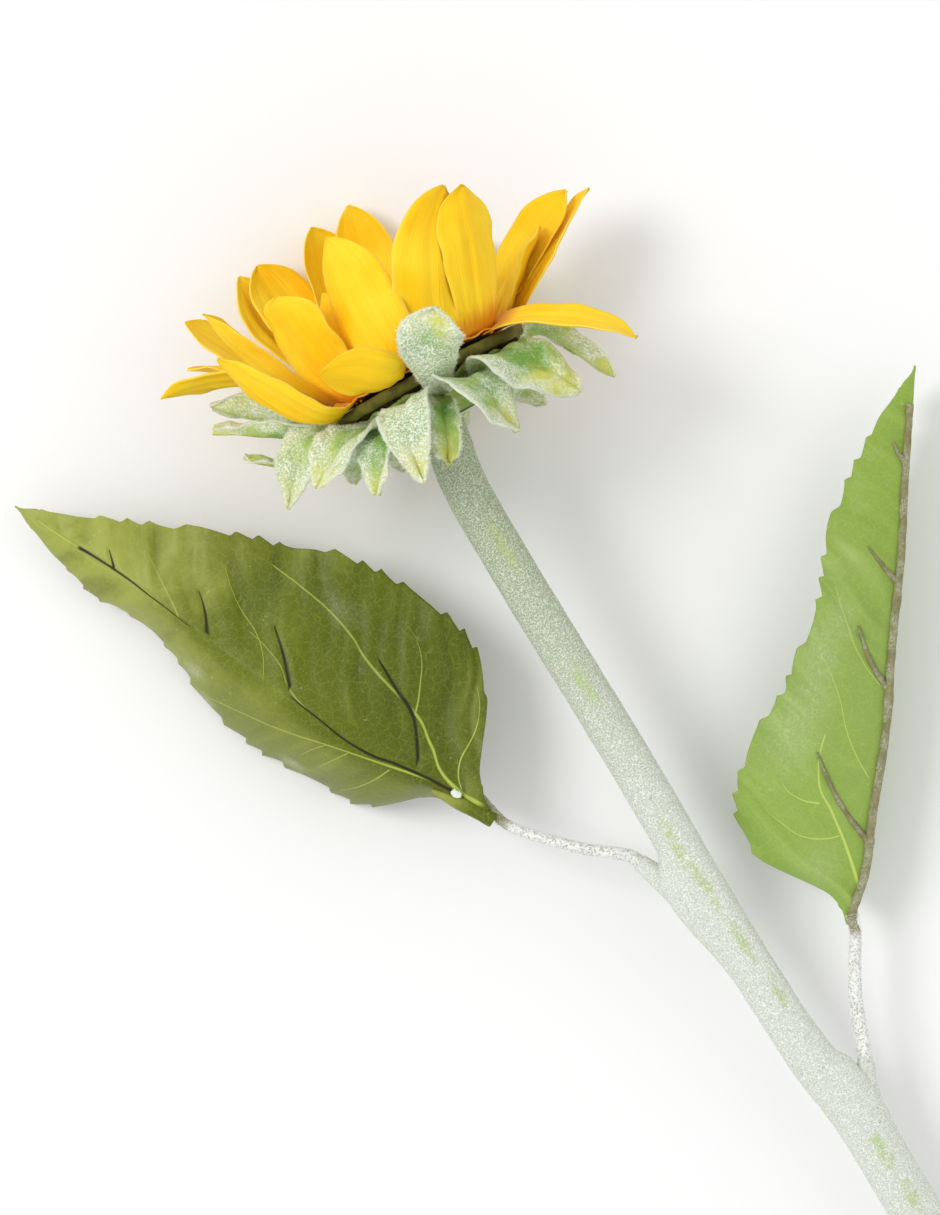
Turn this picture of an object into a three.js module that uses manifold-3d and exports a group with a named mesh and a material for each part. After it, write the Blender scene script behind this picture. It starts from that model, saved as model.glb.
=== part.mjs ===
// A made cut sunflower lying on its side on a table: one bloom on a flocked stem with two leaves.
// Millimetres. +Y runs from the stem's cut end to the bloom, +Z is up from the table at z = 0,
// and the origin is on the table under the middle of the plant's box.
import * as THREE from 'three';
import { mergeVertices } from 'three/addons/utils/BufferGeometryUtils.js';
import Module from 'manifold-3d';

// ---- driving dimensions ----
const BLOOM_PLACE = new THREE.Vector3(-0.4, 193.5, 56); // middle of the bloom's rim
const BLOOM_YAW = -2.6; // degrees that the bloom's axis turns from the stem's, seen from above
const RIM_RADIUS = 33.5; // receptacle's rim
const DISC_RADIUS = 23.5;
const DISC_DOME = 6;
const PETAL_ROOT = { radius: 30, height: 3.4 };
const INNER_ROOT = { radius: 27, height: 4.2 };
const BRACT_ROOT = { radius: 26, height: -8.5 };
const PETAL_THICKNESS = 0.9;
const BRACT_THICKNESS = 1.1;
const LEAF_THICKNESS = 0.9;
const LEAF_LENGTH = 184;
const LEAF_TEETH = 18; // along each margin
const TOOTH_DEPTH = 2.2;
const STEM_RADIUS = 7.3;
const STEM_SWELL = { more: 1.1, from: 235, to: 275 }; // thicker below the second leaf, from the bloom
const STEM_SIDES = 16;
const CUT_END_Y = -450; // from the bloom, along the stem
const CUT_END_Z = 8.45; // middle of the cut end, which lies on the table
const SEAT_GAP = 0.35; // kept between pieces that rest on each other
const LEFT_RIB_ASIDE = 4.2; // from the left leaf's fold to the rod under it
const RIGHT_RIB_ASIDE = 1.2; // from the right leaf's fold to the rod on top of it
const FLORET_SPIRALS = [21, 34]; // crossing spirals of the disc's florets
const FLORET_HEIGHT = 1.1;

const COLOURS = {
  petal: 0xf5bf2f, disc: 0x3a2412, receptacle: 0x4b5418, bract: 0xbfd0a0, stem: 0xb9c7b4,
  leafLeft: 0x7d8c33, leafRight: 0x8fa659, rib: 0x8a8062,
};

// Bloom coordinates: u across (to +X), d up from the table, h along the bloom's axis, from its rim.
// Each petal: turn of its root round the axis (0 is +u, 90 is up), rise of its start above the rim
// plane, tip [u, d, h], width, and how it is shaped: arm (how far it keeps its first direction),
// cup (half angle of its cross-section, radians), roll (degrees at root and tip), blunt (tip's
// bluntness), widest (where along it), rootWidth (share of its width at the root) and skew (share by
// which one side is wider than the other).
const PETAL_SHAPE = {
  arm: 0.5, cup: 0.4, roll: [0, 0], blunt: 2.2, widest: 0.55, rootWidth: 0.45, skew: 0,
};
const PETALS = [
  { turn: 188, rise: 55, tip: [-80, -10, 34], width: 20, roll: [-10, -20] },
  { turn: 196, rise: 50, tip: [-68, -26, 40], width: 22 },
  { turn: 206, rise: 42, tip: [-62, -20, 53], width: 28, cup: 0.2, roll: [-15, 0], blunt: 2.8 },
  { turn: 176, rise: 46, tip: [-55, 13, 50], width: 24, cup: 0.9, blunt: 3, rootWidth: 0.35 },
  { turn: 152, rise: -30, tip: [-57, 33, 34], width: 21, arm: 0.38, roll: [8, -10], blunt: 2.4,
    rootWidth: 0.7 },
  { turn: 226, rise: 48, tip: [-40, -41, 59.5], width: 27, cup: 0.3 },
  { turn: 233, rise: 50, tip: [-33, -42, 60], width: 25, blunt: 4 },
  { turn: 141, rise: 52, tip: [-32, 33, 42.5], width: 25, arm: 0.4, cup: 0.35, roll: [-15, 0], blunt: 7,
    rootWidth: 0.35 },
  { turn: 246, rise: 53, tip: [-11, -45, 63], width: 24, cup: 0.7, roll: [0, -20], blunt: 4, skew: -0.25 },
  { turn: 105, rise: 40, tip: [-9, 29, 52], width: 27, arm: 0.3, cup: 0.5, roll: [8, 25], blunt: 2.6,
    rootWidth: 0.65 },
  { turn: 267, rise: 50, tip: [3, -47, 64], width: 21, cup: 0.6, blunt: 3 },
  { turn: 104, rise: -20, tip: [-30, 54, 14.5], width: 20, arm: 0.35, cup: 0.8, roll: [-28, -5],
    widest: 0.62 },
  { turn: 72, rise: 62, tip: [31, 34, 49], width: 31, arm: 0.43, cup: 0.55, roll: [5, -40], blunt: 3.3,
    widest: 0.43, rootWidth: 0.7 },
  { turn: 45, rise: 58, tip: [36, 31, 47], width: 26, cup: 0.5, blunt: 2.8, rootWidth: 0.65 },
  { turn: 327, rise: 56, tip: [67, -16, 33], width: 22, arm: 0.32, cup: 0.15, roll: [-5, -35], blunt: 2.7 },
  { turn: 341, rise: 42, tip: [74, -17, 30], width: 26, arm: 0.4, cup: 0.35, roll: [-25, -10], blunt: 1.3,
    widest: 0.45, rootWidth: 0.6, skew: 0.3 },
  { turn: 34, rise: -2, tip: [63, 26, -21], width: 19, arm: 0.42, cup: 0.2, roll: [-12, 8], blunt: 2.5,
    widest: 0.75, rootWidth: 0.95 },
  { turn: 214, rise: 25, tip: [-44, -53, 26], width: 24, cup: 0.3 },
  { turn: 244, rise: 45, tip: [-20, -55.4, 44], width: 26, cup: 0.3 },
  { turn: 288, rise: 45, tip: [20, -55.4, 42], width: 26, cup: 0.3 },
  { turn: 308, rise: 45, tip: [33, -54, 34], width: 22, cup: 0.3 },
  { turn: 350, rise: 50, tip: [54, -14, 26], width: 20, cup: 0.5 },
  { turn: 118, rise: 65, tip: [-18, 16, 38], width: 24, cup: 0.5, inner: true },
  { turn: 62, rise: 65, tip: [18, 16, 40], width: 24, cup: 0.5, inner: true },
];

// Green bracts under the rim, most of them curled back toward the stem, described as the petals are.
const BRACT_SHAPE = { ...PETAL_SHAPE, arm: 0.6, widest: 0.42, rootWidth: 0.7 };
const BRACTS = [
  { turn: 89, rise: 24, tip: [10, 57, 15.5], width: 21, arm: 0.78, roll: [5, 35], blunt: 1.7, widest: 0.58,
    rootWidth: 0.3 },
  { turn: 200, rise: 34, tip: [-67, -13, 25], width: 18, arm: 0.5, roll: [-5, -50], blunt: 3 },
  { turn: 176, rise: 28, tip: [-69, 1, 17.5], width: 12, arm: 0.5, cup: 0.9, blunt: 3 },
  { turn: 184, rise: -4, tip: [-64.5, -1, 5], width: 6, roll: [0, 25], blunt: 4 },
  { turn: 158, rise: 35, tip: [-60, 9, -17], width: 22, arm: 0.7, cup: 0.2, roll: [20, 58], blunt: 1.2,
    rootWidth: 0.9 },
  { turn: 136, rise: 14, tip: [-49, 25, -16], width: 22, arm: 0.65, roll: [15, 20], blunt: 1.9,
    widest: 0.35 },
  { turn: 118, rise: -5, tip: [-33, 40, -27], width: 19, cup: 0.5, roll: [12, -25], blunt: 1.9,
    rootWidth: 0.95, skew: 0.2 },
  { turn: 106, rise: 22, tip: [-18, 51, -31], width: 17, arm: 0.7, cup: 0.2, roll: [-8, 35], blunt: 2,
    widest: 0.38, rootWidth: 0.8 },
  { turn: 92, rise: -20, tip: [-8.5, 39, -29], width: 9, roll: [38, 0], blunt: 5, widest: 0.5,
    rootWidth: 0.8 },
  { turn: 74, rise: 13, tip: [16, 39, -30], width: 21, arm: 0.85, cup: 0.15, roll: [10, 48], blunt: 3.5,
    widest: 0.55, rootWidth: 0.95, skew: 0.4 },
  { turn: 50, rise: 34, tip: [39, 30, -28], width: 29, cup: 0.12, roll: [0, 6], rootWidth: 0.55, skew: 0.45 },
  { turn: 9, rise: 52, tip: [52, 2, -28], width: 13, arm: 0.55, cup: 0.7, roll: [10, 45], blunt: 4,
    widest: 0.6, rootWidth: 0.35 },
  { turn: 320, rise: -5, tip: [40, -30, -24], width: 18 },
  { turn: 298, rise: -10, tip: [30, -42, -24], width: 15 },
  { turn: 270, rise: -10, tip: [1, -44, -20], width: 15 },
  { turn: 246, rise: -10, tip: [-22, -42, -22], width: 15 },
  { turn: 222, rise: -5, tip: [-38, -34, -18], width: 16 },
];

// Leaf frames: x from the blade's base to its tip, y to the left of that, z up from the table.
// Each list runs evenly from base to tip.
const LEFT_LEAF = {
  base: new THREE.Vector2(-56, -131), // from under the bloom
  heading: 116.6, // degrees from +X
  midrib: [0, 1, 3, 4.5, 3, 2, 1, 0, 0, 0, 0],
  height: [38, 40, 41.7, 43, 41.5, 38, 33, 28, 23, 19, 16],
  upper: [2.5, 12, 30, 43, 49, 52, 53, 52.5, 51, 49, 46, 40, 37, 32.5, 28, 23, 18.5, 14, 9, 4.5, 1.2],
  lowerReach: [1.6, 3, 5, 14, 19, 19, 19, 20.5, 22, 21.5, 20.5, 18, 14, 11.5, 10, 10.5, 11.5, 9, 7, 3.5, 1.2],
  lowerDrop: [0.2, 23, 39, 42.5, 40.5, 35, 29, 22, 14, 7, 0.1],
};
const RIGHT_LEAF = {
  base: new THREE.Vector2(29.4, -223.8),
  heading: 53.4,
  midrib: [1, -2, -2.2, -3.5, -3.1, -2.4, -2.3, -2.3, -1.2, -0.7, 0],
  height: [22, 25, 27.5, 28.5, 28.5, 28, 27, 25, 22.5, 20, 18],
  upper: [2, 11, 36, 44, 47, 47, 45.5, 41.5, 36, 33.5, 30, 27.5, 27, 27, 26, 22.5, 19.5, 15.5, 12, 5.5, 1.2],
  // Below 0 at the two ends, where the fold opens out flat.
  underReach: [-1.5, 8, 16, 21, 24, 23.5, 22, 20, 18, 16.5, 15, 14, 13, 12.5, 12, 10.5, 9, 7.5, 6, 4.5, -1.2],
  underDrop: [0.2, 9.5, 18, 23.4, 26.6, 27.8, 27.5, 26, 24, 22, 20, 18.5, 17, 16, 15, 13, 11, 8.5, 6, 4.6,
    0.1],
};

const wasm = await Module();
wasm.setup();

const radians = THREE.MathUtils.degToRad;

// ---- joining ----
function solidOf(geometry) {
  const bare = geometry.clone();
  bare.deleteAttribute('normal');
  bare.deleteAttribute('uv');
  const merged = mergeVertices(bare, 1e-4);
  return new wasm.Manifold(new wasm.Mesh({
    numProp: 3,
    vertProperties: new Float32Array(merged.attributes.position.array),
    triVerts: new Uint32Array(merged.index.array),
  }));
}

function geometryOf(solid) {
  const mesh = solid.getMesh();
  const geometry = new THREE.BufferGeometry();
  geometry.setAttribute('position', new THREE.BufferAttribute(new Float32Array(mesh.vertProperties), 3));
  geometry.setIndex(new THREE.BufferAttribute(new Uint32Array(mesh.triVerts), 1));
  return geometry;
}

// One solid from many that cross, cut clear of a neighbour where one is given. Small hollows that the
// crossings close off are filled, and loose scraps are dropped.
function fuse(geometries, neighbour) {
  const joined = geometries.map(solidOf).reduce((whole, piece) => whole.add(piece));
  const shells = (neighbour ? joined.subtract(solidOf(neighbour)) : joined).decompose();
  return geometryOf(shells.reduce((largest, shell) => (shell.volume() > largest.volume() ? shell : largest)));
}

// ---- shapes ----
// A value that runs smoothly through a list spread evenly over 0 to 1.
function along(list, s) {
  const place = Math.min(Math.max(s, 0), 1) * (list.length - 1);
  const start = Math.min(Math.floor(place), list.length - 2);
  const t = place - start;
  const at = (i) => list[Math.min(Math.max(i, 0), list.length - 1)];
  const [a, b, c, d] = [at(start - 1), at(start), at(start + 1), at(start + 2)];
  return b + 0.5 * t * (c - a + t * (2 * a - 5 * b + 4 * c - d + t * (3 * (b - c) + d - a)));
}

function normalAt(surface, s, q) {
  const step = 1e-3;
  const ahead = surface(Math.min(s + step, 1), q).sub(surface(Math.max(s - step, 0), q));
  const aside = surface(s, Math.min(q + step, 1)).sub(surface(s, Math.max(q - step, -1)));
  return ahead.cross(aside).normalize();
}

// A closed thin blade over surface(s, q): s runs 0 to 1 along it, q runs -1 to 1 across it.
// Both faces are the same grid, split into triangles alike, and a strip closes the rim.
function bladeGeometry(surface, stations, columns, thickness) {
  const positions = [];
  const row = columns + 1;
  const faceSize = row * (stations + 1);
  for (const side of [0.5, -0.5]) {
    for (let i = 0; i <= stations; i += 1) {
      for (let j = 0; j <= columns; j += 1) {
        const [s, q] = [i / stations, -1 + (2 * j) / columns];
        const point = surface(s, q).addScaledVector(normalAt(surface, s, q), side * thickness);
        positions.push(point.x, point.y, point.z);
      }
    }
  }
  const index = [];
  for (let i = 0; i < stations; i += 1) {
    for (let j = 0; j < columns; j += 1) {
      const [a, b, c, d] = [i * row + j, i * row + j + 1, (i + 1) * row + j + 1, (i + 1) * row + j];
      index.push(a, d, c, a, c, b);
      index.push(...[a, c, d, a, b, c].map((k) => k + faceSize));
    }
  }
  const rim = [];
  for (let j = 0; j < columns; j += 1) rim.push(j);
  for (let i = 0; i < stations; i += 1) rim.push(i * row + columns);
  for (let j = columns; j > 0; j -= 1) rim.push(stations * row + j);
  for (let i = stations; i > 0; i -= 1) rim.push(i * row);
  rim.forEach((a, k) => {
    const b = rim[(k + 1) % rim.length];
    index.push(a, b, b + faceSize, a, b + faceSize, a + faceSize);
  });
  const geometry = new THREE.BufferGeometry();
  geometry.setAttribute('position', new THREE.Float32BufferAttribute(positions, 3));
  geometry.setIndex(index);
  return geometry;
}

// A capped tube along a curve, with a radius that changes along it.
function taperedTube(curve, radiusAt, sides, steps) {
  const geometry = new THREE.CylinderGeometry(1, 1, 1, sides, steps);
  const frames = curve.computeFrenetFrames(steps, false);
  const place = geometry.attributes.position;
  for (let k = 0; k < place.count; k += 1) {
    const s = place.getY(k) + 0.5;
    const step = Math.round(s * steps);
    const point = curve.getPointAt(s)
      .addScaledVector(frames.normals[step], place.getX(k) * radiusAt(s))
      .addScaledVector(frames.binormals[step], -place.getZ(k) * radiusAt(s));
    place.setXYZ(k, point.x, point.y, point.z);
  }
  return geometry;
}

function curveThrough(points) {
  return new THREE.CatmullRomCurve3(points.map((p) => (p.isVector3 ? p : new THREE.Vector3(...p))));
}

// ---- the bloom, in (u, h, d) turned to (x, y, z) ----
function bloomPoint(u, d, h) {
  return new THREE.Vector3(u, h, d);
}

// A petal's or bract's middle line is a cubic curve from its root to its tip; its section is an arc.
function petalSurface({ turn, rise, tip, width, arm, cup, roll, blunt, widest, rootWidth, skew }, root) {
  const outward = bloomPoint(Math.cos(radians(turn)), Math.sin(radians(turn)), 0);
  const around = bloomPoint(-Math.sin(radians(turn)), Math.cos(radians(turn)), 0);
  const axis = bloomPoint(0, 0, 1);
  const start = outward.clone().multiplyScalar(root.radius).addScaledVector(axis, root.height);
  const end = bloomPoint(...tip);
  const reach = start.distanceTo(end) * arm;
  const first = start.clone().addScaledVector(outward, reach * Math.cos(radians(rise)))
    .addScaledVector(axis, reach * Math.sin(radians(rise)));
  const second = first.clone().lerp(end, 0.5);
  const line = new THREE.CubicBezierCurve3(start, first, second, end);
  return (s, q) => {
    const ahead = line.getTangent(s);
    const across = around.clone().addScaledVector(ahead, -around.dot(ahead)).normalize();
    const inward = ahead.clone().cross(across).multiplyScalar(-1);
    const turned = radians(roll[0] + (roll[1] - roll[0]) * s);
    const side = across.clone().multiplyScalar(Math.cos(turned)).addScaledVector(inward, Math.sin(turned));
    const face = inward.clone().multiplyScalar(Math.cos(turned)).addScaledVector(across, -Math.sin(turned));
    const beyond = Math.max((s - widest) / (1 - widest), 0);
    const share = s < widest
      ? rootWidth + (1 - rootWidth) * Math.sin((s / widest) * Math.PI / 2)
      : Math.max(1 - beyond ** blunt, 0.05);
    const half = (width / 2) * share;
    const bend = Math.max(half / cup, 2);
    const angle = (q * half * (1 + skew * Math.sign(q) * Math.sin(Math.PI * s))) / bend;
    return line.getPoint(s).addScaledVector(side, bend * Math.sin(angle))
      .addScaledVector(face, bend * (1 - Math.cos(angle)));
  };
}

function ringGeometry(profile, sides) {
  const closed = [...profile, profile[0]].map(([r, h]) => new THREE.Vector2(r, h));
  return new THREE.LatheGeometry(closed, sides);
}

function columnsFor({ width }) {
  return width > 18 ? 4 : 2;
}

function petalsGeometry() {
  const ring = ringGeometry([[24, 2.35], [31.5, 2.35], [31.8, 4], [28, 5.2], [24, 4.6]], 28);
  const blades = PETALS.map((petal) => {
    const surface = petalSurface({ ...PETAL_SHAPE, ...petal }, petal.inner ? INNER_ROOT : PETAL_ROOT);
    return bladeGeometry(surface, 8, columnsFor(petal), PETAL_THICKNESS);
  });
  return fuse([ring, ...blades], receptacleGeometry(SEAT_GAP));
}

function bractsGeometry() {
  const collarProfile = [[13.5, -16], [24, -11.5], [27.5, -9.3], [27.5, -7], [24.5, -8.9], [13, -14]];
  const collar = ringGeometry(collarProfile, 24);
  const blades = BRACTS.map((bract) => {
    const surface = petalSurface({ ...BRACT_SHAPE, ...bract }, BRACT_ROOT);
    return bladeGeometry(surface, 7, columnsFor(bract), BRACT_THICKNESS);
  });
  return fuse([collar, ...blades], receptacleGeometry(SEAT_GAP));
}

// The cup that carries the bloom, or with a margin the room that its neighbours leave round it.
function receptacleGeometry(margin = 0) {
  const under = [[0, -15], [9, -15], [11, -13.4], [24, -7.9], [30, -4.4], [RIM_RADIUS, -1.6]];
  const over = [[RIM_RADIUS, 0.8], [31.8, 2], [0, 2]];
  const profile = [
    ...under.map(([r, h]) => new THREE.Vector2(r && r + margin, h - margin)),
    ...over.map(([r, h]) => new THREE.Vector2(r && r + margin, h + margin)),
  ];
  return new THREE.LatheGeometry(profile, 36);
}

// A low dome whose florets stand up where two families of spirals cross.
function discGeometry() {
  const rings = 13;
  const profile = [new THREE.Vector2(0, 2.35), new THREE.Vector2(DISC_RADIUS, 2.35)];
  for (let k = 0; k <= rings; k += 1) {
    const share = 1 - k / rings;
    const dome = DISC_DOME * Math.sqrt(1 - 0.85 * share * share) - 1.6 * (1 - share) ** 4;
    profile.push(new THREE.Vector2(DISC_RADIUS * share, 3.2 + dome));
  }
  const geometry = new THREE.LatheGeometry(profile, 84);
  const place = geometry.attributes.position;
  for (let k = 0; k < place.count; k += 1) {
    const [x, y, z] = [place.getX(k), place.getY(k), place.getZ(k)];
    const radius = Math.hypot(x, z);
    if (y < 3 || radius < 1) continue;
    const angle = Math.atan2(z, x);
    const [left, right] = FLORET_SPIRALS;
    const swirl = 9 * Math.log(radius);
    const floret = Math.cos(left * angle + swirl) + Math.cos(right * angle - 1.4 * swirl);
    place.setY(k, y + 0.5 * FLORET_HEIGHT * floret * Math.min(radius / 6, 1));
  }
  return geometry;
}

// The lathe turns round +Y, which is the bloom's axis here.
function bloomGroup() {
  const bloom = new THREE.Group();
  bloom.position.copy(BLOOM_PLACE);
  bloom.rotation.z = radians(BLOOM_YAW);
  bloom.add(
    piece('petals', petalsGeometry(), COLOURS.petal, 0.6),
    piece('disc', discGeometry(), COLOURS.disc, 0.9),
    piece('receptacle', receptacleGeometry(), COLOURS.receptacle, 0.7),
    piece('bracts', bractsGeometry(), COLOURS.bract, 0.95),
  );
  return bloom;
}

// ---- leaves ----
function tooth(s) {
  const phase = (s * LEAF_TEETH) % 1;
  return Math.abs(phase - 0.5) * 2 * TOOTH_DEPTH;
}

// Where the blade is narrow the teeth are shallow, so that its width still grows out to the margin.
function marginWidth(list, s, q) {
  const width = along(list, s);
  return Math.max(width - Math.min(tooth(s), 0.18 * width) * Math.abs(q) ** 4, 0.3);
}

// The left leaf is open on its upper half and bends down to the table on the other.
function leftLeafSurface(s, q) {
  const leaf = LEFT_LEAF;
  const middle = along(leaf.midrib, s);
  const top = along(leaf.height, s);
  const reach = Math.abs(q);
  if (q < 0) {
    const width = marginWidth(leaf.upper, s, q);
    const wave = 2.4 * Math.sin(2 * Math.PI * (4.4 * s + 0.1)) * reach * reach * Math.min(width / 20, 1);
    return new THREE.Vector3(s * LEAF_LENGTH, middle - reach * width, top - 0.12 * reach * width + wave);
  }
  const width = marginWidth(leaf.lowerReach, s, q);
  const out = 1 - (1 - reach) ** 1.5;
  const drop = along(leaf.lowerDrop, s) * reach ** 1.4;
  return new THREE.Vector3(s * LEAF_LENGTH, middle + out * width, top - drop);
}

// The right leaf is folded in half along its midrib: one half lies on top, the other leans on the table.
function rightLeafSurface(s, q) {
  const leaf = RIGHT_LEAF;
  const middle = along(leaf.midrib, s);
  const top = along(leaf.height, s);
  const reach = Math.abs(q);
  if (q > 0) {
    const width = marginWidth(leaf.upper, s, q);
    const wave = 1.8 * Math.sin(2 * Math.PI * (3.3 * s + 0.3)) * reach * reach * Math.min(width / 20, 1);
    const arch = 3 * Math.sin(Math.PI * reach) * Math.min(width / 30, 1);
    return new THREE.Vector3(s * LEAF_LENGTH, middle + reach * width, top + arch + wave);
  }
  const drop = along(leaf.underDrop, s) * reach;
  const across = reach ** 1.2 * along(leaf.underReach, s);
  return new THREE.Vector3(s * LEAF_LENGTH, middle + across, top - drop);
}

function leafGroup(leaf, pieces) {
  const group = new THREE.Group();
  group.position.set(leaf.base.x + BLOOM_PLACE.x, leaf.base.y + BLOOM_PLACE.y, 0);
  group.rotation.z = radians(leaf.heading);
  group.add(...pieces);
  return group;
}

function leafBladeGeometry(surface) {
  return bladeGeometry(surface, 2 * LEAF_TEETH, 6, LEAF_THICKNESS);
}

// A point lifted off a blade's face by a rib's radius and the seat gap.
function onBlade(surface, s, q, radius, side) {
  const lift = LEAF_THICKNESS / 2 + SEAT_GAP + radius;
  return surface(s, q).addScaledVector(normalAt(surface, s, q), side * lift);
}

function toLeafFrame(leaf, [x, y, z]) {
  const origin = new THREE.Vector2();
  const point = new THREE.Vector2(x, y).sub(leaf.base).rotateAround(origin, -radians(leaf.heading));
  return new THREE.Vector3(point.x, point.y, z);
}

// Petiole and midrib of the left leaf, moulded as one plastic rod under the blade.
function leftPetioleGeometry() {
  const stalk = [
    [-21.3, -168.9, 35.4], [-23.5, -165.4, 35.5], [-34, -157, 36], [-43, -148, 36], [-52, -137, 36],
  ];
  const rib = [0.04, 0.12, 0.25, 0.4, 0.55, 0.7, 0.85].map((s) => onBlade(leftLeafSurface, s,
    -LEFT_RIB_ASIDE / along(LEFT_LEAF.upper, s), 2.6, -1));
  const curve = curveThrough([...stalk.map((p) => toLeafFrame(LEFT_LEAF, p)), ...rib]);
  return taperedTube(curve, (s) => 2.3 - 1.5 * s, 7, 32);
}

// Petiole, midrib and side ribs of the right leaf, standing on the blade's underside, which faces up.
function rightPetioleGeometry() {
  const leaf = RIGHT_LEAF;
  const stalk = [[9.7, -263, 26.8], [11.3, -259.6, 26.5], [17, -245, 25], [23, -234, 24.6], [28, -226, 25.2]];
  const onFold = (s) => onBlade(rightLeafSurface, s, RIGHT_RIB_ASIDE / along(leaf.upper, s),
    2.2 - 1.1 * s, 1);
  const midrib = [0.02, 0.1, 0.2, 0.35, 0.5, 0.65, 0.8, 0.93].map(onFold);
  const curve = curveThrough([...stalk.map((p) => toLeafFrame(leaf, p)), ...midrib]);
  const main = taperedTube(curve, (s) => 2.4 - 1.4 * s, 7, 32);
  const sideRibs = [[0.15, 0.3, 0.5], [0.42, 0.53, 0.45], [0.61, 0.67, 0.45], [0.82, 0.86, 0.4]].map(
    ([from, to, reach]) => {
      const spread = [0.25, 0.6, 1].map((t) => onBlade(rightLeafSurface, from + (to - from) * t ** 1.3,
        reach * t, 1.5 - 0.3 * t, 1));
      return taperedTube(curveThrough([onFold(from), ...spread]), (s) => 1.1 - 0.4 * s, 6, 8);
    });
  return fuse([main, ...sideRibs]);
}

// ---- stem ----
const STEM_ROUTE = [ // (x, y) from under the bloom to the cut end
  [-4.8, -15.9], [-5.3, -20], [-6.8, -26], [-8.3, -36], [-8.6, -58], [-8.3, -85], [-7.6, -115], [-7.1, -145],
  [-7.2, -180], [-7.1, -205], [-6.6, -225], [-5.6, -245], [-4.3, -258], [-2.4, -268], [-1.3, -280],
  [-0.9, -300], [-0.8, -380], [-0.8, CUT_END_Y],
];

function stemCurve() {
  const slope = (BLOOM_PLACE.z - CUT_END_Z) / (-25 - CUT_END_Y);
  return curveThrough(STEM_ROUTE.map(([x, y]) => [x, y, BLOOM_PLACE.z + Math.min(y + 25, 0) * slope]));
}

// A slim stem, a little thicker below its second leaf, with a stub where each leaf stalk is set on.
function stemGeometry() {
  const { more, from, to } = STEM_SWELL;
  const radiusAt = (s) => STEM_RADIUS + more * THREE.MathUtils.smoothstep(s * -CUT_END_Y, from, to);
  const body = taperedTube(stemCurve(), radiusAt, STEM_SIDES, 28);
  const left = curveThrough([[-6.5, -214, 34], [-11, -198, 34.6], [-15, -185, 35], [-20.9, -169.6, 35.4]]);
  const right = curveThrough([[0, -288, 27], [3, -279, 27.4], [5.8, -271, 27.3], [9.4, -263.6, 26.9]]);
  return fuse([
    body,
    taperedTube(left, (s) => 7.3 - 4.6 * s ** 1.3, 10, 8),
    taperedTube(right, (s) => 5.6 - 2.7 * s, 10, 5),
  ]);
}

function piece(name, geometry, colour, roughness) {
  const material = new THREE.MeshStandardMaterial({ color: colour, roughness, metalness: 0 });
  const mesh = new THREE.Mesh(geometry, material);
  mesh.name = name;
  return mesh;
}

const sunflower = new THREE.Group();
const stem = piece('stem', stemGeometry(), COLOURS.stem, 0.95);
stem.position.set(BLOOM_PLACE.x, BLOOM_PLACE.y, 0);
sunflower.add(
  stem,
  bloomGroup(),
  leafGroup(LEFT_LEAF, [
    piece('leaf_blade_left', leafBladeGeometry(leftLeafSurface), COLOURS.leafLeft, 0.8),
    piece('petiole_left', leftPetioleGeometry(), COLOURS.rib, 0.8),
  ]),
  leafGroup(RIGHT_LEAF, [
    piece('leaf_blade_right', leafBladeGeometry(rightLeafSurface), COLOURS.leafRight, 0.8),
    piece('petiole_right', rightPetioleGeometry(), COLOURS.rib, 0.8),
  ]),
);

export default sunflower;
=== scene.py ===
"""An artificial cut sunflower lying on its side: flocked stem, fabric bloom and two printed leaves.
Sizes are in millimetres until a mesh is finished, and the finished mesh is in metres."""
import math
import random

import bmesh
import bpy
from mathutils import Matrix, Vector, noise


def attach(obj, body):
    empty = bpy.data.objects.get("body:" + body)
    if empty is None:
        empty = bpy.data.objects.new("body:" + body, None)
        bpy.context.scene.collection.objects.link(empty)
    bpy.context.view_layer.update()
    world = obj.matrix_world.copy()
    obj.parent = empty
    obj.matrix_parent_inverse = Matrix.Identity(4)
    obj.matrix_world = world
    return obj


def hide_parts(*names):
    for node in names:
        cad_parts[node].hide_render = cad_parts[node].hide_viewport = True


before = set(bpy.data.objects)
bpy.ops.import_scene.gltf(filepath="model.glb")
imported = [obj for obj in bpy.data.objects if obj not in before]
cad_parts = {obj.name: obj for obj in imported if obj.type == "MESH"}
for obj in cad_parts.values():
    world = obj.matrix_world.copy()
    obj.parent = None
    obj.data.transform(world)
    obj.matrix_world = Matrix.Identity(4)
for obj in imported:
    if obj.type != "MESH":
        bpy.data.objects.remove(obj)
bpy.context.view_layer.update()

MM = 0.001

# ---- driving sizes, the same as the solids' ----
BLOOM_PLACE = Vector((-0.4, 193.5, 56))  # middle of the bloom's rim
BLOOM_YAW = math.radians(-2.6)
DISC_RADIUS = 23.5
DISC_DOME = 6
PETAL_ROOT = (30, 3.4)  # radius and height of a petal's root
INNER_ROOT = (27, 4.2)
BRACT_ROOT = (26, -8.5)
LEAF_LENGTH = 184
LEAF_TEETH = 18
TOOTH_DEPTH = 2
STEM_RADIUS = 7.3
STEM_SWELL = (1.1, 235, 275)  # more radius, from and to these distances from the bloom
CUT_END_Y = -450  # from the bloom, along the stem
CUT_END_Z = 8.45  # middle of the cut end, which lies on the table
LEFT_RIB_ASIDE = 4.2  # from the left leaf's fold to the rod under it
RIGHT_RIB_ASIDE = 1.2  # from the right leaf's fold to the rod on top of it
LEAF_SHEET = 0.6  # thickness of the leaf fabric
PETAL_SHEET = 0.45
BRACT_SHEET = 0.8
TABLE_GAP = 0.05  # no mesh comes nearer to the table than this
PETAL_TABLE_GAP = 0.3
COLLAR_FRILLS = 17

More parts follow.
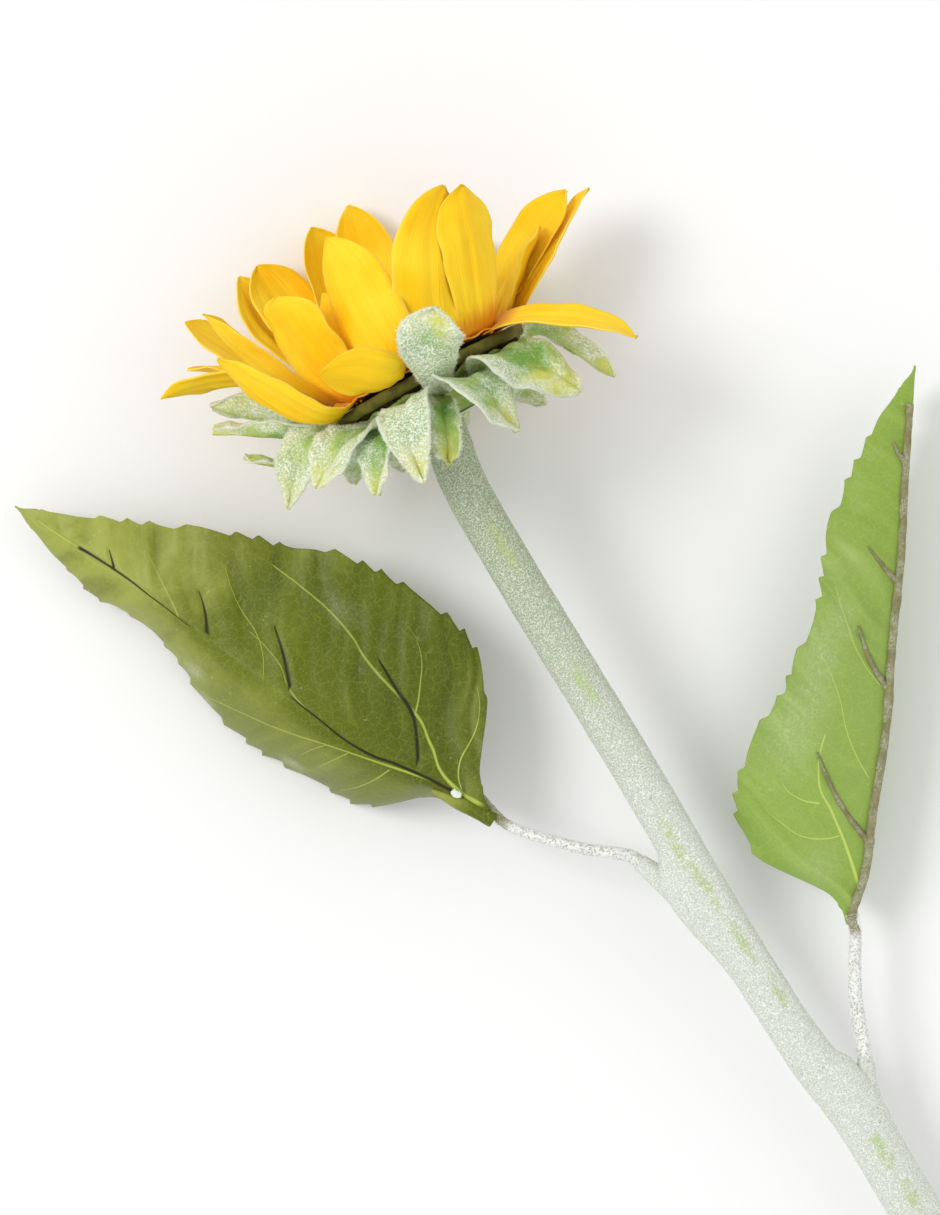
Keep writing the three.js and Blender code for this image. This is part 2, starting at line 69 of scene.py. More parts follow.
# How many small pieces each flocked or set surface has.
BRACT_FIBRES = 18700
FRAY_FIBRES = 2600
STEM_FIBRES = 30000
LEFT_STALK_FIBRES = 3600
RIGHT_STALK_FIBRES = 3200
FLORETS = 620

# Petals and bracts. turn: of the root round the axis, in degrees (0 is +u, 90 is up). rise: of the start
# above the rim plane, in degrees. tip: u across, d up, h along the axis. arm: how far the start's
# direction holds, as a share of the length. cup: how round the blade is across. roll: degrees that it
# twists, at the root and at the tip. blunt: higher is a rounder tip. widest: where it is widest.
# root_width: share of the width at the root. skew: how much fuller one half is. inner: on the inner ring.
PETALS = [
    dict(turn=188, rise=55, tip=(-80, -10, 34), width=20, roll=(-10, -20)),
    dict(turn=196, rise=50, tip=(-68, -26, 40), width=22),
    dict(turn=206, rise=42, tip=(-62, -20, 53), width=28, cup=0.2, roll=(-15, 0), blunt=2.8),
    dict(turn=176, rise=46, tip=(-55, 13, 50), width=24, cup=0.9, blunt=3, root_width=0.35),
    dict(turn=152, rise=-30, tip=(-57, 33, 34), width=21, arm=0.38, roll=(8, -10), blunt=2.4,
         root_width=0.7),
    dict(turn=226, rise=48, tip=(-40, -41, 59.5), width=27, cup=0.3),
    dict(turn=233, rise=50, tip=(-33, -42, 60), width=25, blunt=4),
    dict(turn=141, rise=52, tip=(-32, 33, 42.5), width=25, arm=0.4, cup=0.35, roll=(-15, 0), blunt=7,
         root_width=0.35),
    dict(turn=246, rise=53, tip=(-11, -45, 63), width=24, cup=0.7, roll=(0, -20), blunt=4, skew=-0.25),
    dict(turn=105, rise=40, tip=(-9, 29, 52), width=27, arm=0.3, cup=0.5, roll=(8, 25), blunt=2.6,
         root_width=0.65),
    dict(turn=267, rise=50, tip=(3, -47, 64), width=21, cup=0.6, blunt=3),
    dict(turn=104, rise=-20, tip=(-30, 54, 14.5), width=20, arm=0.35, cup=0.8, roll=(-28, -5),
         widest=0.62),
    dict(turn=72, rise=62, tip=(31, 34, 49), width=31, arm=0.43, cup=0.55, roll=(5, -40), blunt=3.3,
         widest=0.43, root_width=0.7),
    dict(turn=45, rise=58, tip=(36, 31, 47), width=26, cup=0.5, blunt=2.8, root_width=0.65),
    dict(turn=327, rise=56, tip=(67, -16, 33), width=22, arm=0.32, cup=0.15, roll=(-5, -35), blunt=2.7),
    dict(turn=341, rise=42, tip=(74, -17, 30), width=26, arm=0.4, cup=0.35, roll=(-25, -10), blunt=1.3,
         widest=0.45, root_width=0.6, skew=0.3),
    dict(turn=34, rise=-2, tip=(63, 26, -21), width=19, arm=0.42, cup=0.2, roll=(-12, 8), blunt=2.5,
         widest=0.75, root_width=0.95),
    dict(turn=214, rise=25, tip=(-44, -53, 26), width=24, cup=0.3),
    dict(turn=244, rise=45, tip=(-20, -55.4, 44), width=26, cup=0.3),
    dict(turn=288, rise=45, tip=(20, -55.4, 42), width=26, cup=0.3),
    dict(turn=308, rise=45, tip=(33, -54, 34), width=22, cup=0.3),
    dict(turn=350, rise=50, tip=(54, -14, 26), width=20, cup=0.5),
    dict(turn=118, rise=65, tip=(-18, 16, 38), width=24, cup=0.5, inner=True),
    dict(turn=62, rise=65, tip=(18, 16, 40), width=24, cup=0.5, inner=True),
]
# Bracts have three more. frost: how much white flock covers one. ridge: where across it a fold stands
# up. notch: how deep its tip is cut into lobes.
BRACT_SHAPE = dict(arm=0.6, widest=0.42, root_width=0.7)
BRACTS = [
    dict(turn=89, frost=0.7, rise=24, tip=(10, 57, 15.5), width=21, arm=0.78, roll=(5, 35), blunt=1.7,
         widest=0.58, root_width=0.3, ridge=0.15),
    dict(turn=200, frost=0.5, rise=34, tip=(-67, -13, 25), width=18, arm=0.5, roll=(-5, -50), blunt=3),
    dict(turn=176, frost=0.25, rise=28, tip=(-69, 1, 17.5), width=12, arm=0.5, cup=0.9, blunt=3),
    dict(turn=184, frost=0.2, rise=-4, tip=(-64.5, -1, 5), width=6, roll=(0, 25), blunt=4),
    dict(turn=158, frost=0.5, rise=35, tip=(-60, 9, -17), width=22, arm=0.7, cup=0.2, roll=(20, 58),
         blunt=1.2, root_width=0.9),
    dict(turn=136, frost=0.4, rise=14, tip=(-49, 25, -16), width=22, arm=0.65, roll=(15, 20), blunt=1.9,
         widest=0.35),
    dict(turn=118, frost=0.45, rise=-5, tip=(-33, 40, -27), width=19, cup=0.5, roll=(12, -25), blunt=1.9,
         root_width=0.95, skew=0.2),
    dict(turn=106, frost=0.65, rise=22, tip=(-18, 51, -31), width=17, arm=0.7, cup=0.2, roll=(-8, 35),
         blunt=2, widest=0.38, root_width=0.8),
    dict(turn=92, frost=0.0, rise=-20, tip=(-8.5, 39, -29), width=9, roll=(38, 0), blunt=5, widest=0.5,
         root_width=0.8, notch=0.05),
    dict(turn=74, frost=0.5, rise=13, tip=(16, 39, -30), width=21, arm=0.85, cup=0.15, roll=(10, 48),
         blunt=3.5, widest=0.55, root_width=0.95, skew=0.4),
    dict(turn=50, frost=0.3, rise=34, tip=(39, 30, -28), width=29, cup=0.12, roll=(0, 6), root_width=0.55,
         skew=0.45),
    dict(turn=9, frost=0.35, rise=52, tip=(52, 2, -28), width=13, arm=0.55, cup=0.7, roll=(10, 45), blunt=4,
         widest=0.6, root_width=0.35),
    dict(turn=320, rise=-5, tip=(40, -30, -24), width=18),
    dict(turn=298, rise=-10, tip=(30, -42, -24), width=15),
    dict(turn=270, rise=-10, tip=(1, -44, -20), width=15),
    dict(turn=246, rise=-10, tip=(-22, -42, -22), width=15),
    dict(turn=222, rise=-5, tip=(-38, -34, -18), width=16),
]

# Leaves: base and heading from under the bloom, then lists that run evenly from base to tip.
LEFT_LEAF = dict(
    base=(-56, -131), heading=116.6,
    midrib=[0, 1, 3, 4.5, 3, 2, 1, 0, 0, 0, 0],
    height=[38, 40, 41.7, 43, 41.5, 38, 33, 28, 23, 19, 16],
    upper=[2.5, 12, 30, 43, 49, 52, 53, 52.5, 51, 49, 46, 40, 37, 32.5, 28, 23, 18.5, 14, 9, 4.5, 1.2],
    lower_reach=[1.6, 3, 5, 14, 19, 19, 19, 20.5, 22, 21.5, 20.5, 18, 14, 11.5, 10, 10.5, 11.5, 9, 7, 3.5,
                 1.2],
    lower_drop=[0.2, 23, 39, 42.5, 40.5, 35, 29, 22, 14, 7, 0.1],
)
RIGHT_LEAF = dict(
    base=(29.4, -223.8), heading=53.4,
    midrib=[1, -2, -2.2, -3.5, -3.1, -2.4, -2.3, -2.3, -1.2, -0.7, 0],
    height=[22, 25, 27.5, 28.5, 28.5, 28, 27, 25, 22.5, 20, 18],
    upper=[2, 11, 36, 44, 47, 47, 45.5, 41.5, 36, 33.5, 30, 27.5, 27, 27, 26, 22.5, 19.5, 15.5, 12, 5.5,
           1.2],
    # Below 0 at the two ends, where the fold opens out flat.
    under_reach=[-1.5, 8, 16, 21, 24, 23.5, 22, 20, 18, 16.5, 15, 14, 13, 12.5, 12, 10.5, 9, 7.5, 6, 4.5,
                 -1.2],
    under_drop=[0.2, 9.5, 18, 23.4, 26.6, 27.8, 27.5, 26, 24, 22, 20, 18.5, 17, 16, 15, 13, 11, 8.5, 6, 4.6,
                0.1],
)


# Lines on the leaves as (distance from the base, distance from the axis), each with its half width, and
# scuffs as a middle, half sizes and a strength.
LEFT_LINES = dict(
    veins=[
        ([(1, -2), (14, -2), (27, -9), (37, -15), (50, -18), (60, -21), (69, -25), (81, -28), (104, -30)],
         0.9),
        ([(37, -15), (40, -22), (47, -33), (57, -38)], 0.45),
        ([(67, 3), (75, 0.7), (84, -5), (97, -8)], 0.4),
        ([(10, -2), (16, -9), (18, -22), (26, -34)], 0.4),
        ([(14, -1), (34, 3.6), (53, 8.3), (73, 13.7), (86, 16), (98, 18)], 0.5),
        ([(34, 4.3), (38, 13), (44, 20)], 0.4),
        ([(48, 7), (51, 12), (54, 17)], 0.35),
        ([(55, 8.6), (58, 12), (61, 17)], 0.35),
        ([(84, 3), (92, -7), (106, -14), (116, -22)], 0.35),
        ([(118, 1), (130, -6), (139, -11)], 0.35),
        ([(128, 0.4), (146, -0.5), (157, 0), (176, 0)], 0.4),
    ],
    # The creases sink over the ribs and are painted dark: a painted shadow of the ribs under the fabric.
    creases=[
        ([(160, 0), (146, -0.5), (129, 0.3), (113, 1.4)], 0.9),
        ([(145, -0.6), (150, -5)], 1.2),
        ([(107.5, 0.6), (112, -5), (118, -10)], 1.6),
        ([(75, 0.6), (83, -7.5), (91, -14)], 1.8),
        ([(27, -1), (32, -8), (38, -14.5), (46, -18), (57, -23.5)], 1.9),
        ([(10, -0.6), (16, -0.2), (32, 1.9), (49, 4.5), (62, 3.5), (75, 2.3)], 1.1),
    ],
    scuffs=[((62, 21), (6, 2)), ((98, 20), (6, 3)), ((105, 13), (5, 3)), ((76, -30), (12, 6), 0.25)],
    both_sides=True,
)
RIGHT_LINES = dict(
    veins=[
        ([(12, 0), (22, 4.5), (29, 8), (36, 12), (48, 18), (62, 17)], 0.8),
        ([(38.6, 16.3), (39.5, 23.5), (45, 30)], 0.4),
        ([(29, 8), (27, 18), (31, 28), (38, 36)], 0.3),
        ([(78, 0), (88, 9), (100, 15), (110, 19)], 0.3),
        ([(48, 1), (60, 9), (76, 15), (88, 22)], 0.3),
    ],
    creases=[],
    scuffs=[((60, 28), (20, 13), 0.5), ((72, 23), (18, 10), 0.5), ((86, 21), (18, 9), 0.45),
            ((99, 16), (12, 7), 0.4), ((18, 14), (11, 9), 0.35)],
    both_sides=False,
)


# ---- helpers ----
def along(values, s):
    """A value that runs smoothly through a list spread evenly over 0 to 1."""
    place = min(max(s, 0), 1) * (len(values) - 1)
    start = min(int(place), len(values) - 2)
    t = place - start
    a, b, c, d = (values[min(max(start + k, 0), len(values) - 1)] for k in (-1, 0, 1, 2))
    return b + 0.5 * t * (c - a + t * (2 * a - 5 * b + 4 * c - d + t * (3 * (b - c) + d - a)))


def smooth(low, high, value):
    t = min(max((value - low) / (high - low), 0), 1)
    return t * t * (3 - 2 * t)


def at_angle(angle, radius=1, height=0):
    return Vector((math.cos(angle) * radius, math.sin(angle) * radius, height))


def bloom_to_row(point):
    """(u, d, h) of the bloom to the row frame."""
    u, d, h = point
    turned = Matrix.Rotation(BLOOM_YAW, 3, "Z") @ Vector((u, h, d))
    return turned + BLOOM_PLACE


def bezier(a, b, c, d, s):
    r = 1 - s
    return a * r ** 3 + b * (3 * r * r * s) + c * (3 * r * s * s) + d * s ** 3


def bezier_ahead(a, b, c, d, s):
    r = 1 - s
    return ((b - a) * (3 * r * r) + (c - b) * (6 * r * s) + (d - c) * (3 * s * s)).normalized()


def petal_surface(turn, rise, tip, width, arm=0.5, cup=0.4, roll=(0, 0), blunt=2.2, skew=0,
                  inner=False, root=PETAL_ROOT, widest=0.55, root_width=0.45, notch=0):
    """The blade's point for s (0 root to 1 tip) and q (-1 to 1 across), in (u, d, h)."""
    angle = math.radians(turn)
    outward = at_angle(angle)
    around = Vector((-math.sin(angle), math.cos(angle), 0))
    axis = Vector((0, 0, 1))
    radius, height = INNER_ROOT if inner else root
    start = outward * radius + axis * height
    end = Vector(tip)
    reach = (end - start).length * arm
    lift = math.radians(rise)
    first = start + (outward * math.cos(lift) + axis * math.sin(lift)) * reach
    line = (start, first, first.lerp(end, 0.5), end)

    def surface(s, q):
        if notch:
            s *= 1 - 0.5 * notch - notch * math.cos(math.tau * (q + 0.15)) * smooth(0.6, 1, s)
        ahead = bezier_ahead(*line, s)
        across = (around - ahead * around.dot(ahead)).normalized()
        inward = ahead.cross(across)
        turned = math.radians(roll[0] + (roll[1] - roll[0]) * s)
        side = across * math.cos(turned) + inward * math.sin(turned)
        face = inward * math.cos(turned) - across * math.sin(turned)
        beyond = max((s - widest) / (1 - widest), 0)
        if s < widest:
            share = root_width + (1 - root_width) * math.sin(s / widest * math.pi / 2)
        else:
            share = max(1 - beyond ** blunt, 0.02) ** 0.8
        half = width / 2 * share
        bend = max(half / cup, 2)
        bent = q * half * (1 + math.copysign(skew, q) * math.sin(math.pi * s)) / bend
        return bezier(*line, s) + side * (bend * math.sin(bent)) + face * (bend * (1 - math.cos(bent))), face

    return surface


# ---- meshes ----
def finish_mesh(name, bm, material, replaced=None, smooth_faces=True):
    """A mesh as a piece in metres that rides on the root and may stand for one CAD node."""
    for vert in bm.verts:
        vert.co.z = max(vert.co.z, TABLE_GAP)
    mesh = bpy.data.meshes.new(name)
    bm.to_mesh(mesh)
    bm.free()
    mesh.transform(Matrix.Scale(MM, 4))
    if smooth_faces:
        mesh.polygons.foreach_set("use_smooth", [True] * len(mesh.polygons))
    mesh.materials.append(material)
    piece = bpy.data.objects.new(name, mesh)
    bpy.context.scene.collection.objects.link(piece)
    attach(piece, "root")
    if replaced:
        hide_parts(replaced)
    return piece


def add_blade(bm, surface, stations, columns, tone):
    """A grid shaped by surface(s, q), with s, q and a tone for the material in its 'blade' layer."""
    layer = bm.verts.layers.float_vector["blade"]
    grid = bmesh.ops.create_grid(bm, x_segments=columns, y_segments=stations, size=1)
    for vert in grid["verts"]:
        q, s = vert.co.x, (vert.co.y + 1) / 2
        vert[layer] = (s, q, tone)
        vert.co = surface(s, q)
    return grid["verts"]


def add_band(bm, surface, columns, root_share, tone, across=1):
    """A band all the way round the bloom, coloured as the root of what stands on it."""
    band = add_blade(bm, surface, 240, columns, tone)
    blade = bm.verts.layers.float_vector["blade"]
    for vert in band:
        vert[blade] = (root_share, vert[blade][1] * across, tone)
    bmesh.ops.remove_doubles(bm, verts=band, dist=0.01)


def thicken(piece, thickness):
    """The sheet gets its thickness, and nothing of it dips through the table."""
    for vert in piece.data.vertices:
        vert.co.z = max(vert.co.z, (thickness / 2 + TABLE_GAP) * MM)
    shell = piece.modifiers.new("sheet", "SOLIDIFY")
    shell.thickness = thickness * MM
    shell.offset = 0


def new_bmesh():
    bm = bmesh.new()
    bm.verts.layers.float_vector.new("blade")
    return bm


def catmull(points, s):
    """A point of a smooth curve through the points, for s from 0 to 1."""
    return Vector([along([p[k] for p in points], s) for k in range(3)])


def tube_frame(points, s):
    """The middle of a tube at s, and two directions square to it."""
    middle = catmull(points, s)
    ahead = (catmull(points, min(s + 0.004, 1)) - catmull(points, max(s - 0.004, 0))).normalized()
    side = ahead.cross(Vector((0, 0, 1))).normalized()
    return middle, side, side.cross(ahead)


def add_tube(bm, points, radius_at, sides, rings, shape, tone_at=lambda s: 0):
    """A capped tube along a smooth curve; shape(s, angle) changes the radius round it."""
    layer = bm.verts.layers.float_vector["blade"]
    grid = bmesh.ops.create_grid(bm, x_segments=sides, y_segments=rings, size=1)
    own = set(grid["verts"])
    for vert in grid["verts"]:
        s, angle = (vert.co.y + 1) / 2, (vert.co.x + 1) * math.pi
        middle, side, over = tube_frame(points, s)
        radius = radius_at(s) * shape(s, angle)
        vert[layer] = (s, angle / math.pi - 1, tone_at(s))
        vert.co = middle + side * (math.cos(angle) * radius) + over * (math.sin(angle) * radius)
    bmesh.ops.remove_doubles(bm, verts=grid["verts"], dist=0.001)
    rims = [edge for edge in bm.edges if edge.is_boundary and edge.verts[0] in own]
    bmesh.ops.holes_fill(bm, edges=rims, sides=0)


# ---- materials ----
class Nodes:
    """Short calls for a material's node tree."""

    def __init__(self, name, roughness, gloss=0.5):
        self.material = bpy.data.materials.new(name)
        self.material.use_nodes = True
        self.tree = self.material.node_tree
        self.shader = self.tree.nodes["Principled BSDF"]
        self.shader.inputs["Roughness"].default_value = roughness
        self.shader.inputs["Specular IOR Level"].default_value = gloss

    def add(self, kind, **settings):
        node = self.tree.nodes.new(kind)
        for key, value in settings.items():
            setattr(node, key, value)
        return node

    def link(self, source, target):
        self.tree.links.new(source, target)

    def object_place(self):
        return self.add("ShaderNodeTexCoord").outputs["Object"]

    def parts_of(self, name):
        """The three numbers of a mesh attribute."""
        attribute = self.add("ShaderNodeAttribute", attribute_name=name)
        parts = self.add("ShaderNodeSeparateXYZ")
        self.link(attribute.outputs["Vector"], parts.inputs[0])
        return parts.outputs["X"], parts.outputs["Y"], parts.outputs["Z"]

    def take(self, socket, value):
        """A socket takes a link or a constant."""
        if hasattr(value, "is_output"):
            self.link(value, socket)
        else:
            socket.default_value = value

    def math(self, operation, *values):
        node = self.add("ShaderNodeMath", operation=operation)
        for socket, value in zip(node.inputs, values):
            self.take(socket, value)
        return node.outputs[0]

    def times(self, a, b):
        return self.math("MULTIPLY", a, b)

    def plus(self, a, b):
        return self.math("ADD", a, b)

    def ramp(self, value, low, high, start=0.0, end=1.0):
        node = self.add("ShaderNodeMapRange", interpolation_type="SMOOTHSTEP")
        self.link(value, node.inputs["Value"])
        node.inputs["From Min"].default_value = low
        node.inputs["From Max"].default_value = high
        node.inputs["To Min"].default_value = start
        node.inputs["To Max"].default_value = end
        return node.outputs[0]

    def noise(self, place, scale, detail=2.0, roughness=0.5, stretch=None):
        if stretch:
            mapping = self.add("ShaderNodeMapping")
            mapping.inputs["Scale"].default_value = stretch
            self.link(place, mapping.inputs["Vector"])
            place = mapping.outputs[0]
        node = self.add("ShaderNodeTexNoise")
        node.inputs["Scale"].default_value = scale
        node.inputs["Detail"].default_value = detail
        node.inputs["Roughness"].default_value = roughness
        self.link(place, node.inputs["Vector"])
        return node.outputs["Fac"]

    def grain(self, scale, detail=2.0, roughness=0.5):
        """Noise fixed to the object."""
        return self.noise(self.object_place(), scale, detail, roughness)

    def mix(self, share, first, second):
        """One colour into another, through the colour sockets of a Mix node."""
        node = self.add("ShaderNodeMix", data_type="RGBA")
        for number, value in ((0, share), (6, first), (7, second)):
            self.take(node.inputs[number], value)
        return node.outputs[2]

    def bump(self, height, distance, strength=1.0):
        node = self.add("ShaderNodeBump")
        node.inputs["Strength"].default_value = strength
        node.inputs["Distance"].default_value = distance
        self.link(height, node.inputs["Height"])
        self.link(node.outputs[0], self.shader.inputs["Normal"])

    def colour(self, value):
        self.link(value, self.shader.inputs["Base Color"])


def rgb(*display):
    """A display colour from 0 to 255 as the linear colour that a shader takes."""
    return (*[(v / 255 / 12.92 if v <= 10 else ((v / 255 + 0.055) / 1.055) ** 2.4) for v in display], 1)


def petal_material():
    """Golden fabric with ochre streaks along it, fine lines, paler edges and a brown root."""
    n = Nodes("golden petal fabric", 0.6, 0.2)
    s, q, tone = n.parts_of("blade")
    edge = n.math("ABSOLUTE", q)
    offset = n.add("ShaderNodeCombineXYZ")
    n.link(s, offset.inputs[0])
    n.link(q, offset.inputs[1])
    n.link(n.times(tone, 37.0), offset.inputs[2])
    streak = n.noise(offset.outputs[0], 1.0, 3, 0.6, (1.3, 11.0, 1.0))
    fine = n.noise(offset.outputs[0], 1.0, 2, 0.6, (3.0, 46.0, 1.0))
    cloud = n.grain(60, 2, 0.5)
    yellow = n.mix(n.ramp(cloud, 0.35, 0.65), rgb(255, 204, 16), rgb(255, 216, 40))
    ochre = n.mix(n.times(n.ramp(streak, 0.5, 0.75), n.ramp(s, 0.05, 0.6, 0.6, 0.2)), yellow,
                  rgb(244, 176, 4))
    lined = n.mix(n.ramp(fine, 0.54, 0.7, 0.0, 0.2), ochre, rgb(222, 160, 6))
    pale = n.mix(n.ramp(edge, 0.93, 1.0, 0.0, 0.5), lined, rgb(255, 230, 110))
    wavering = n.plus(s, n.times(n.math("SUBTRACT", streak, 0.5), 0.2))
    base = n.mix(n.ramp(wavering, 0.17, 0.03), pale, rgb(222, 146, 24))
    n.colour(base)
    n.bump(n.plus(n.times(streak, 0.6), n.times(fine, 0.4)), 0.0005, 0.6)
    return n.material


def flock_speckle(n, scale=1500):
    """Fine fibres and the gaps among them, 0 to 1."""
    fibre = n.grain(scale, 2, 0.7)
    return n.ramp(fibre, 0.38, 0.62)


def bract_material():
    """Green fabric with yellow tips under a white flock that is thickest at the edges."""
    n = Nodes("flocked bract fabric", 0.95, 0.1)
    s, q, frost = n.parts_of("blade")
    edge = n.math("ABSOLUTE", q)
    patch = n.grain(70, 3, 0.6)
    green = n.mix(n.ramp(patch, 0.4, 0.62), rgb(112, 170, 40), rgb(166, 202, 92))
    root = n.mix(n.ramp(s, 0.28, 0.05, 0.0, 0.6), green, rgb(140, 146, 44))
    wandering = n.plus(s, n.times(n.math("SUBTRACT", patch, 0.5), 0.8))
    tip = n.mix(n.ramp(wandering, 0.45, 0.95, 0.0, 0.9), root, rgb(226, 226, 96))
    spread = n.math("MULTIPLY_ADD", edge, 0.22, n.grain(85, 4, 0.65))
    cover = n.ramp(n.math("MULTIPLY_ADD", frost, 0.3, spread), 0.58, 0.82, 0.15, 1.0)
    fibres = n.ramp(n.grain(1500, 3, 0.8), 0.4, 0.56, 0.3, 1.0)
    ragged = n.math("MULTIPLY_ADD", n.grain(420, 3, 0.7), 0.36, edge)
    rim = n.ramp(ragged, 1.02, 1.16, 0.0, 0.9)
    frosted = n.mix(n.math("MAXIMUM", n.times(cover, fibres), rim), tip, rgb(240, 246, 226))
    pit = n.ramp(n.grain(1100, 3, 0.8), 0.58, 0.66, 0.0, 0.6)
    n.colour(n.mix(n.times(pit, n.times(cover, frost)), frosted, rgb(104, 122, 88)))
    n.bump(fibres, 0.0004, 0.7)
    return n.material


def stem_material():
    """Grey green flock, whiter down the stem, with worn yellow green streaks."""
    n = Nodes("grey green stem flock", 0.97, 0.1)
    s, _, worn = n.parts_of("blade")
    speckle = flock_speckle(n, 1900)
    low = n.mix(n.ramp(s, 0.06, 0.4), rgb(156, 170, 134), rgb(212, 219, 203))
    high = n.mix(n.ramp(s, 0.06, 0.4), rgb(220, 228, 206), rgb(250, 252, 246))
    grey = n.mix(speckle, low, high)
    broken = n.math("MULTIPLY_ADD", n.grain(420, 3, 0.7), 3.0, -1.6)
    ragged = n.plus(n.times(worn, 1.2), broken)
    thin = n.times(n.ramp(ragged, 0.1, 1.0), n.ramp(worn, 0.0, 0.5))
    streaked = n.mix(n.times(thin, n.math("MULTIPLY_ADD", speckle, -0.35, 0.7)), grey,
                     rgb(182, 208, 112))
    pit = n.ramp(n.grain(800, 3, 0.7), 0.6, 0.7, 0.0, 0.4)
    n.colour(n.mix(pit, streaked, rgb(128, 138, 116)))
    n.bump(speckle, 0.0005, 0.6)
    return n.material


def line_mask(n, x, y, points, half_width):
    """1 on a vein drawn through the points (mm on the leaf), thinner toward its end, 0 beside it."""
    spans = [max(p[k] for p in points) - min(p[k] for p in points) for k in (0, 1)]
    major = 0 if spans[0] >= spans[1] else 1
    run, side = (x, y) if major == 0 else (y, x)
    order = sorted(points, key=lambda p: p[major])
    low, span = order[0][major], spans[major]
    floor, rise = min(p[1 - major] for p in points), max(spans[1 - major], 1)
    curve = n.add("ShaderNodeFloatCurve")
    drawn = curve.mapping.curves[0]
    for p in order[1:-1]:
        drawn.points.new((p[major] - low) / span, (p[1 - major] - floor) / rise)
    drawn.points[0].location = (0, (order[0][1 - major] - floor) / rise)
    drawn.points[-1].location = (1, (order[-1][1 - major] - floor) / rise)
    curve.mapping.update()
    share = n.math("DIVIDE", n.math("SUBTRACT", run, low), span)
    n.link(share, curve.inputs["Value"])
    middle = n.math("MULTIPLY_ADD", curve.outputs[0], rise, floor)
    gap = n.math("ABSOLUTE", n.math("SUBTRACT", side, middle))
    first_low = points[0][major] < points[-1][major]
    width = n.math("MULTIPLY_ADD", share, (-0.65 if first_low else 0.65) * half_width,
                   half_width * (1 if first_low else 0.35))
    on_line = n.ramp(n.math("DIVIDE", gap, width), 1.0, 0.25)
    inside = n.ramp(n.math("ABSOLUTE", n.math("SUBTRACT", share, 0.5)), 0.5, 0.46)
    return n.times(on_line, inside)


def strongest(n, masks):
    total = masks[0]
    for mask in masks[1:]:
        total = n.math("MAXIMUM", total, mask)
    return total


def leaf_material(name, lines, ground, buckle_light_and_shade, lower_half_painted_light, vein, crease, speckle_share):
    """Printed leaf fabric: a cloudy ground, drawn veins, creases over the ribs painted dark as painted
    shadow, painted highlight and painted shade on the buckles, a lower half painted paler as painted light,
    and scuffs.
    """
    n = Nodes(name, 0.45, 0.22)
    s, q, shade = n.parts_of("blade")
    x, y, scuff = n.parts_of("marks")
    near_base, middle, near_tip = ground
    # painted highlight and painted shade colours for the high and low parts of the buckles
    painted_buckle_highlight, painted_buckle_shade = buckle_light_and_shade
    cloud = n.grain(34, 4, 0.6)
    wavering = n.plus(s, n.times(n.math("SUBTRACT", cloud, 0.5), 0.9))
    body = n.mix(n.ramp(wavering, 0.1, 0.45), near_base, middle)
    body = n.mix(n.ramp(wavering, 0.42, 0.9), body, near_tip)
    blotch = n.grain(110, 3, 0.6)
    body = n.mix(n.ramp(blotch, 0.5, 0.75, 0.0, 0.4), body, middle)
    # Painted light: the lower half, which hangs down steeply, is painted paler.
    body = n.mix(n.ramp(q, 0.05, 0.3, 0.0, lower_half_painted_light), body, near_tip)
    uneven = n.ramp(n.grain(24, 2, 0.5), 0.4, 0.6, 0.08, 0.45)
    # Painted highlight where the buckles stand high, painted shade where they lie low.
    body = n.mix(n.times(n.ramp(shade, 0.52, 0.8), uneven), body, painted_buckle_highlight)
    body = n.mix(n.times(n.ramp(shade, 0.48, 0.2), uneven), body, painted_buckle_shade)
    weave = n.grain(1300, 2, 0.6)
    body = n.mix(n.ramp(weave, 0.45, 0.65, 0.0, 0.07), body, vein)
    net = n.add("ShaderNodeTexVoronoi", feature="DISTANCE_TO_EDGE")
    net.inputs["Scale"].default_value = 280
    n.link(n.object_place(), net.inputs["Vector"])
    body = n.mix(n.ramp(net.outputs[0], 0.06, 0.0, 0.0, 0.09), body, vein)
    shown = n.math("GREATER_THAN", q, -2.0 if lines["both_sides"] else 0.0)
    veins = strongest(n, [line_mask(n, x, y, *line) for line in lines["veins"]])
    faded = n.math("MULTIPLY_ADD", n.ramp(x, 0.0, 70.0), -0.35, 0.85)
    body = n.mix(n.times(n.times(veins, shown), faded), body, vein)
    # Painted shadow: the creases over the ribs are painted dark.
    if lines["creases"]:
        body = n.mix(strongest(n, [line_mask(n, x, y, *line) for line in lines["creases"]]), body, crease)
    scratch = n.grain(260, 3, 0.7)
    thread = n.ramp(n.math("ABSOLUTE", n.math("SUBTRACT", scratch, 0.5)), 0.02, 0.0)
    fibre = n.grain(420, 3, 0.7)
    speck = n.ramp(fibre, 0.66, 0.72, 0.0, speckle_share)
    worn = n.times(scuff, n.math("MULTIPLY_ADD", thread, 0.6, 0.22))
    n.colour(n.mix(n.math("MAXIMUM", speck, worn), body, rgb(226, 232, 206)))
    n.bump(n.plus(n.times(weave, 0.4), n.times(fibre, 0.3)), 0.0002, 0.4)
    return n.material


def rib_material():
    """Bare grey brown plastic along the leaves, and white flock on the bare stalks."""
    n = Nodes("moulded rib plastic", 0.7)
    _, _, flocked = n.parts_of("blade")
    patch = n.ramp(n.grain(160, 3, 0.6), 0.42, 0.6)
    body = n.mix(n.grain(230, 3, 0.6), rgb(100, 94, 52), rgb(166, 162, 118))
    dusted = n.mix(n.times(patch, n.times(flock_speckle(n, 1600), 0.45)), body,
                   rgb(206, 210, 190))
    speck = n.ramp(n.grain(1500, 3, 0.7), 0.36, 0.52)
    flock = n.mix(speck, rgb(182, 184, 174), rgb(244, 245, 240))
    n.colour(n.mix(flocked, dusted, flock))
    n.bump(n.plus(speck, n.grain(700, 3, 0.6)), 0.0003, 0.6)
    return n.material


def flock_material(name, low, high):
    n = Nodes(name, 1.0, 0.1)
    n.colour(n.mix(n.ramp(n.grain(1400, 1, 0.5), 0.4, 0.6), rgb(*low), rgb(*high)))
    return n.material


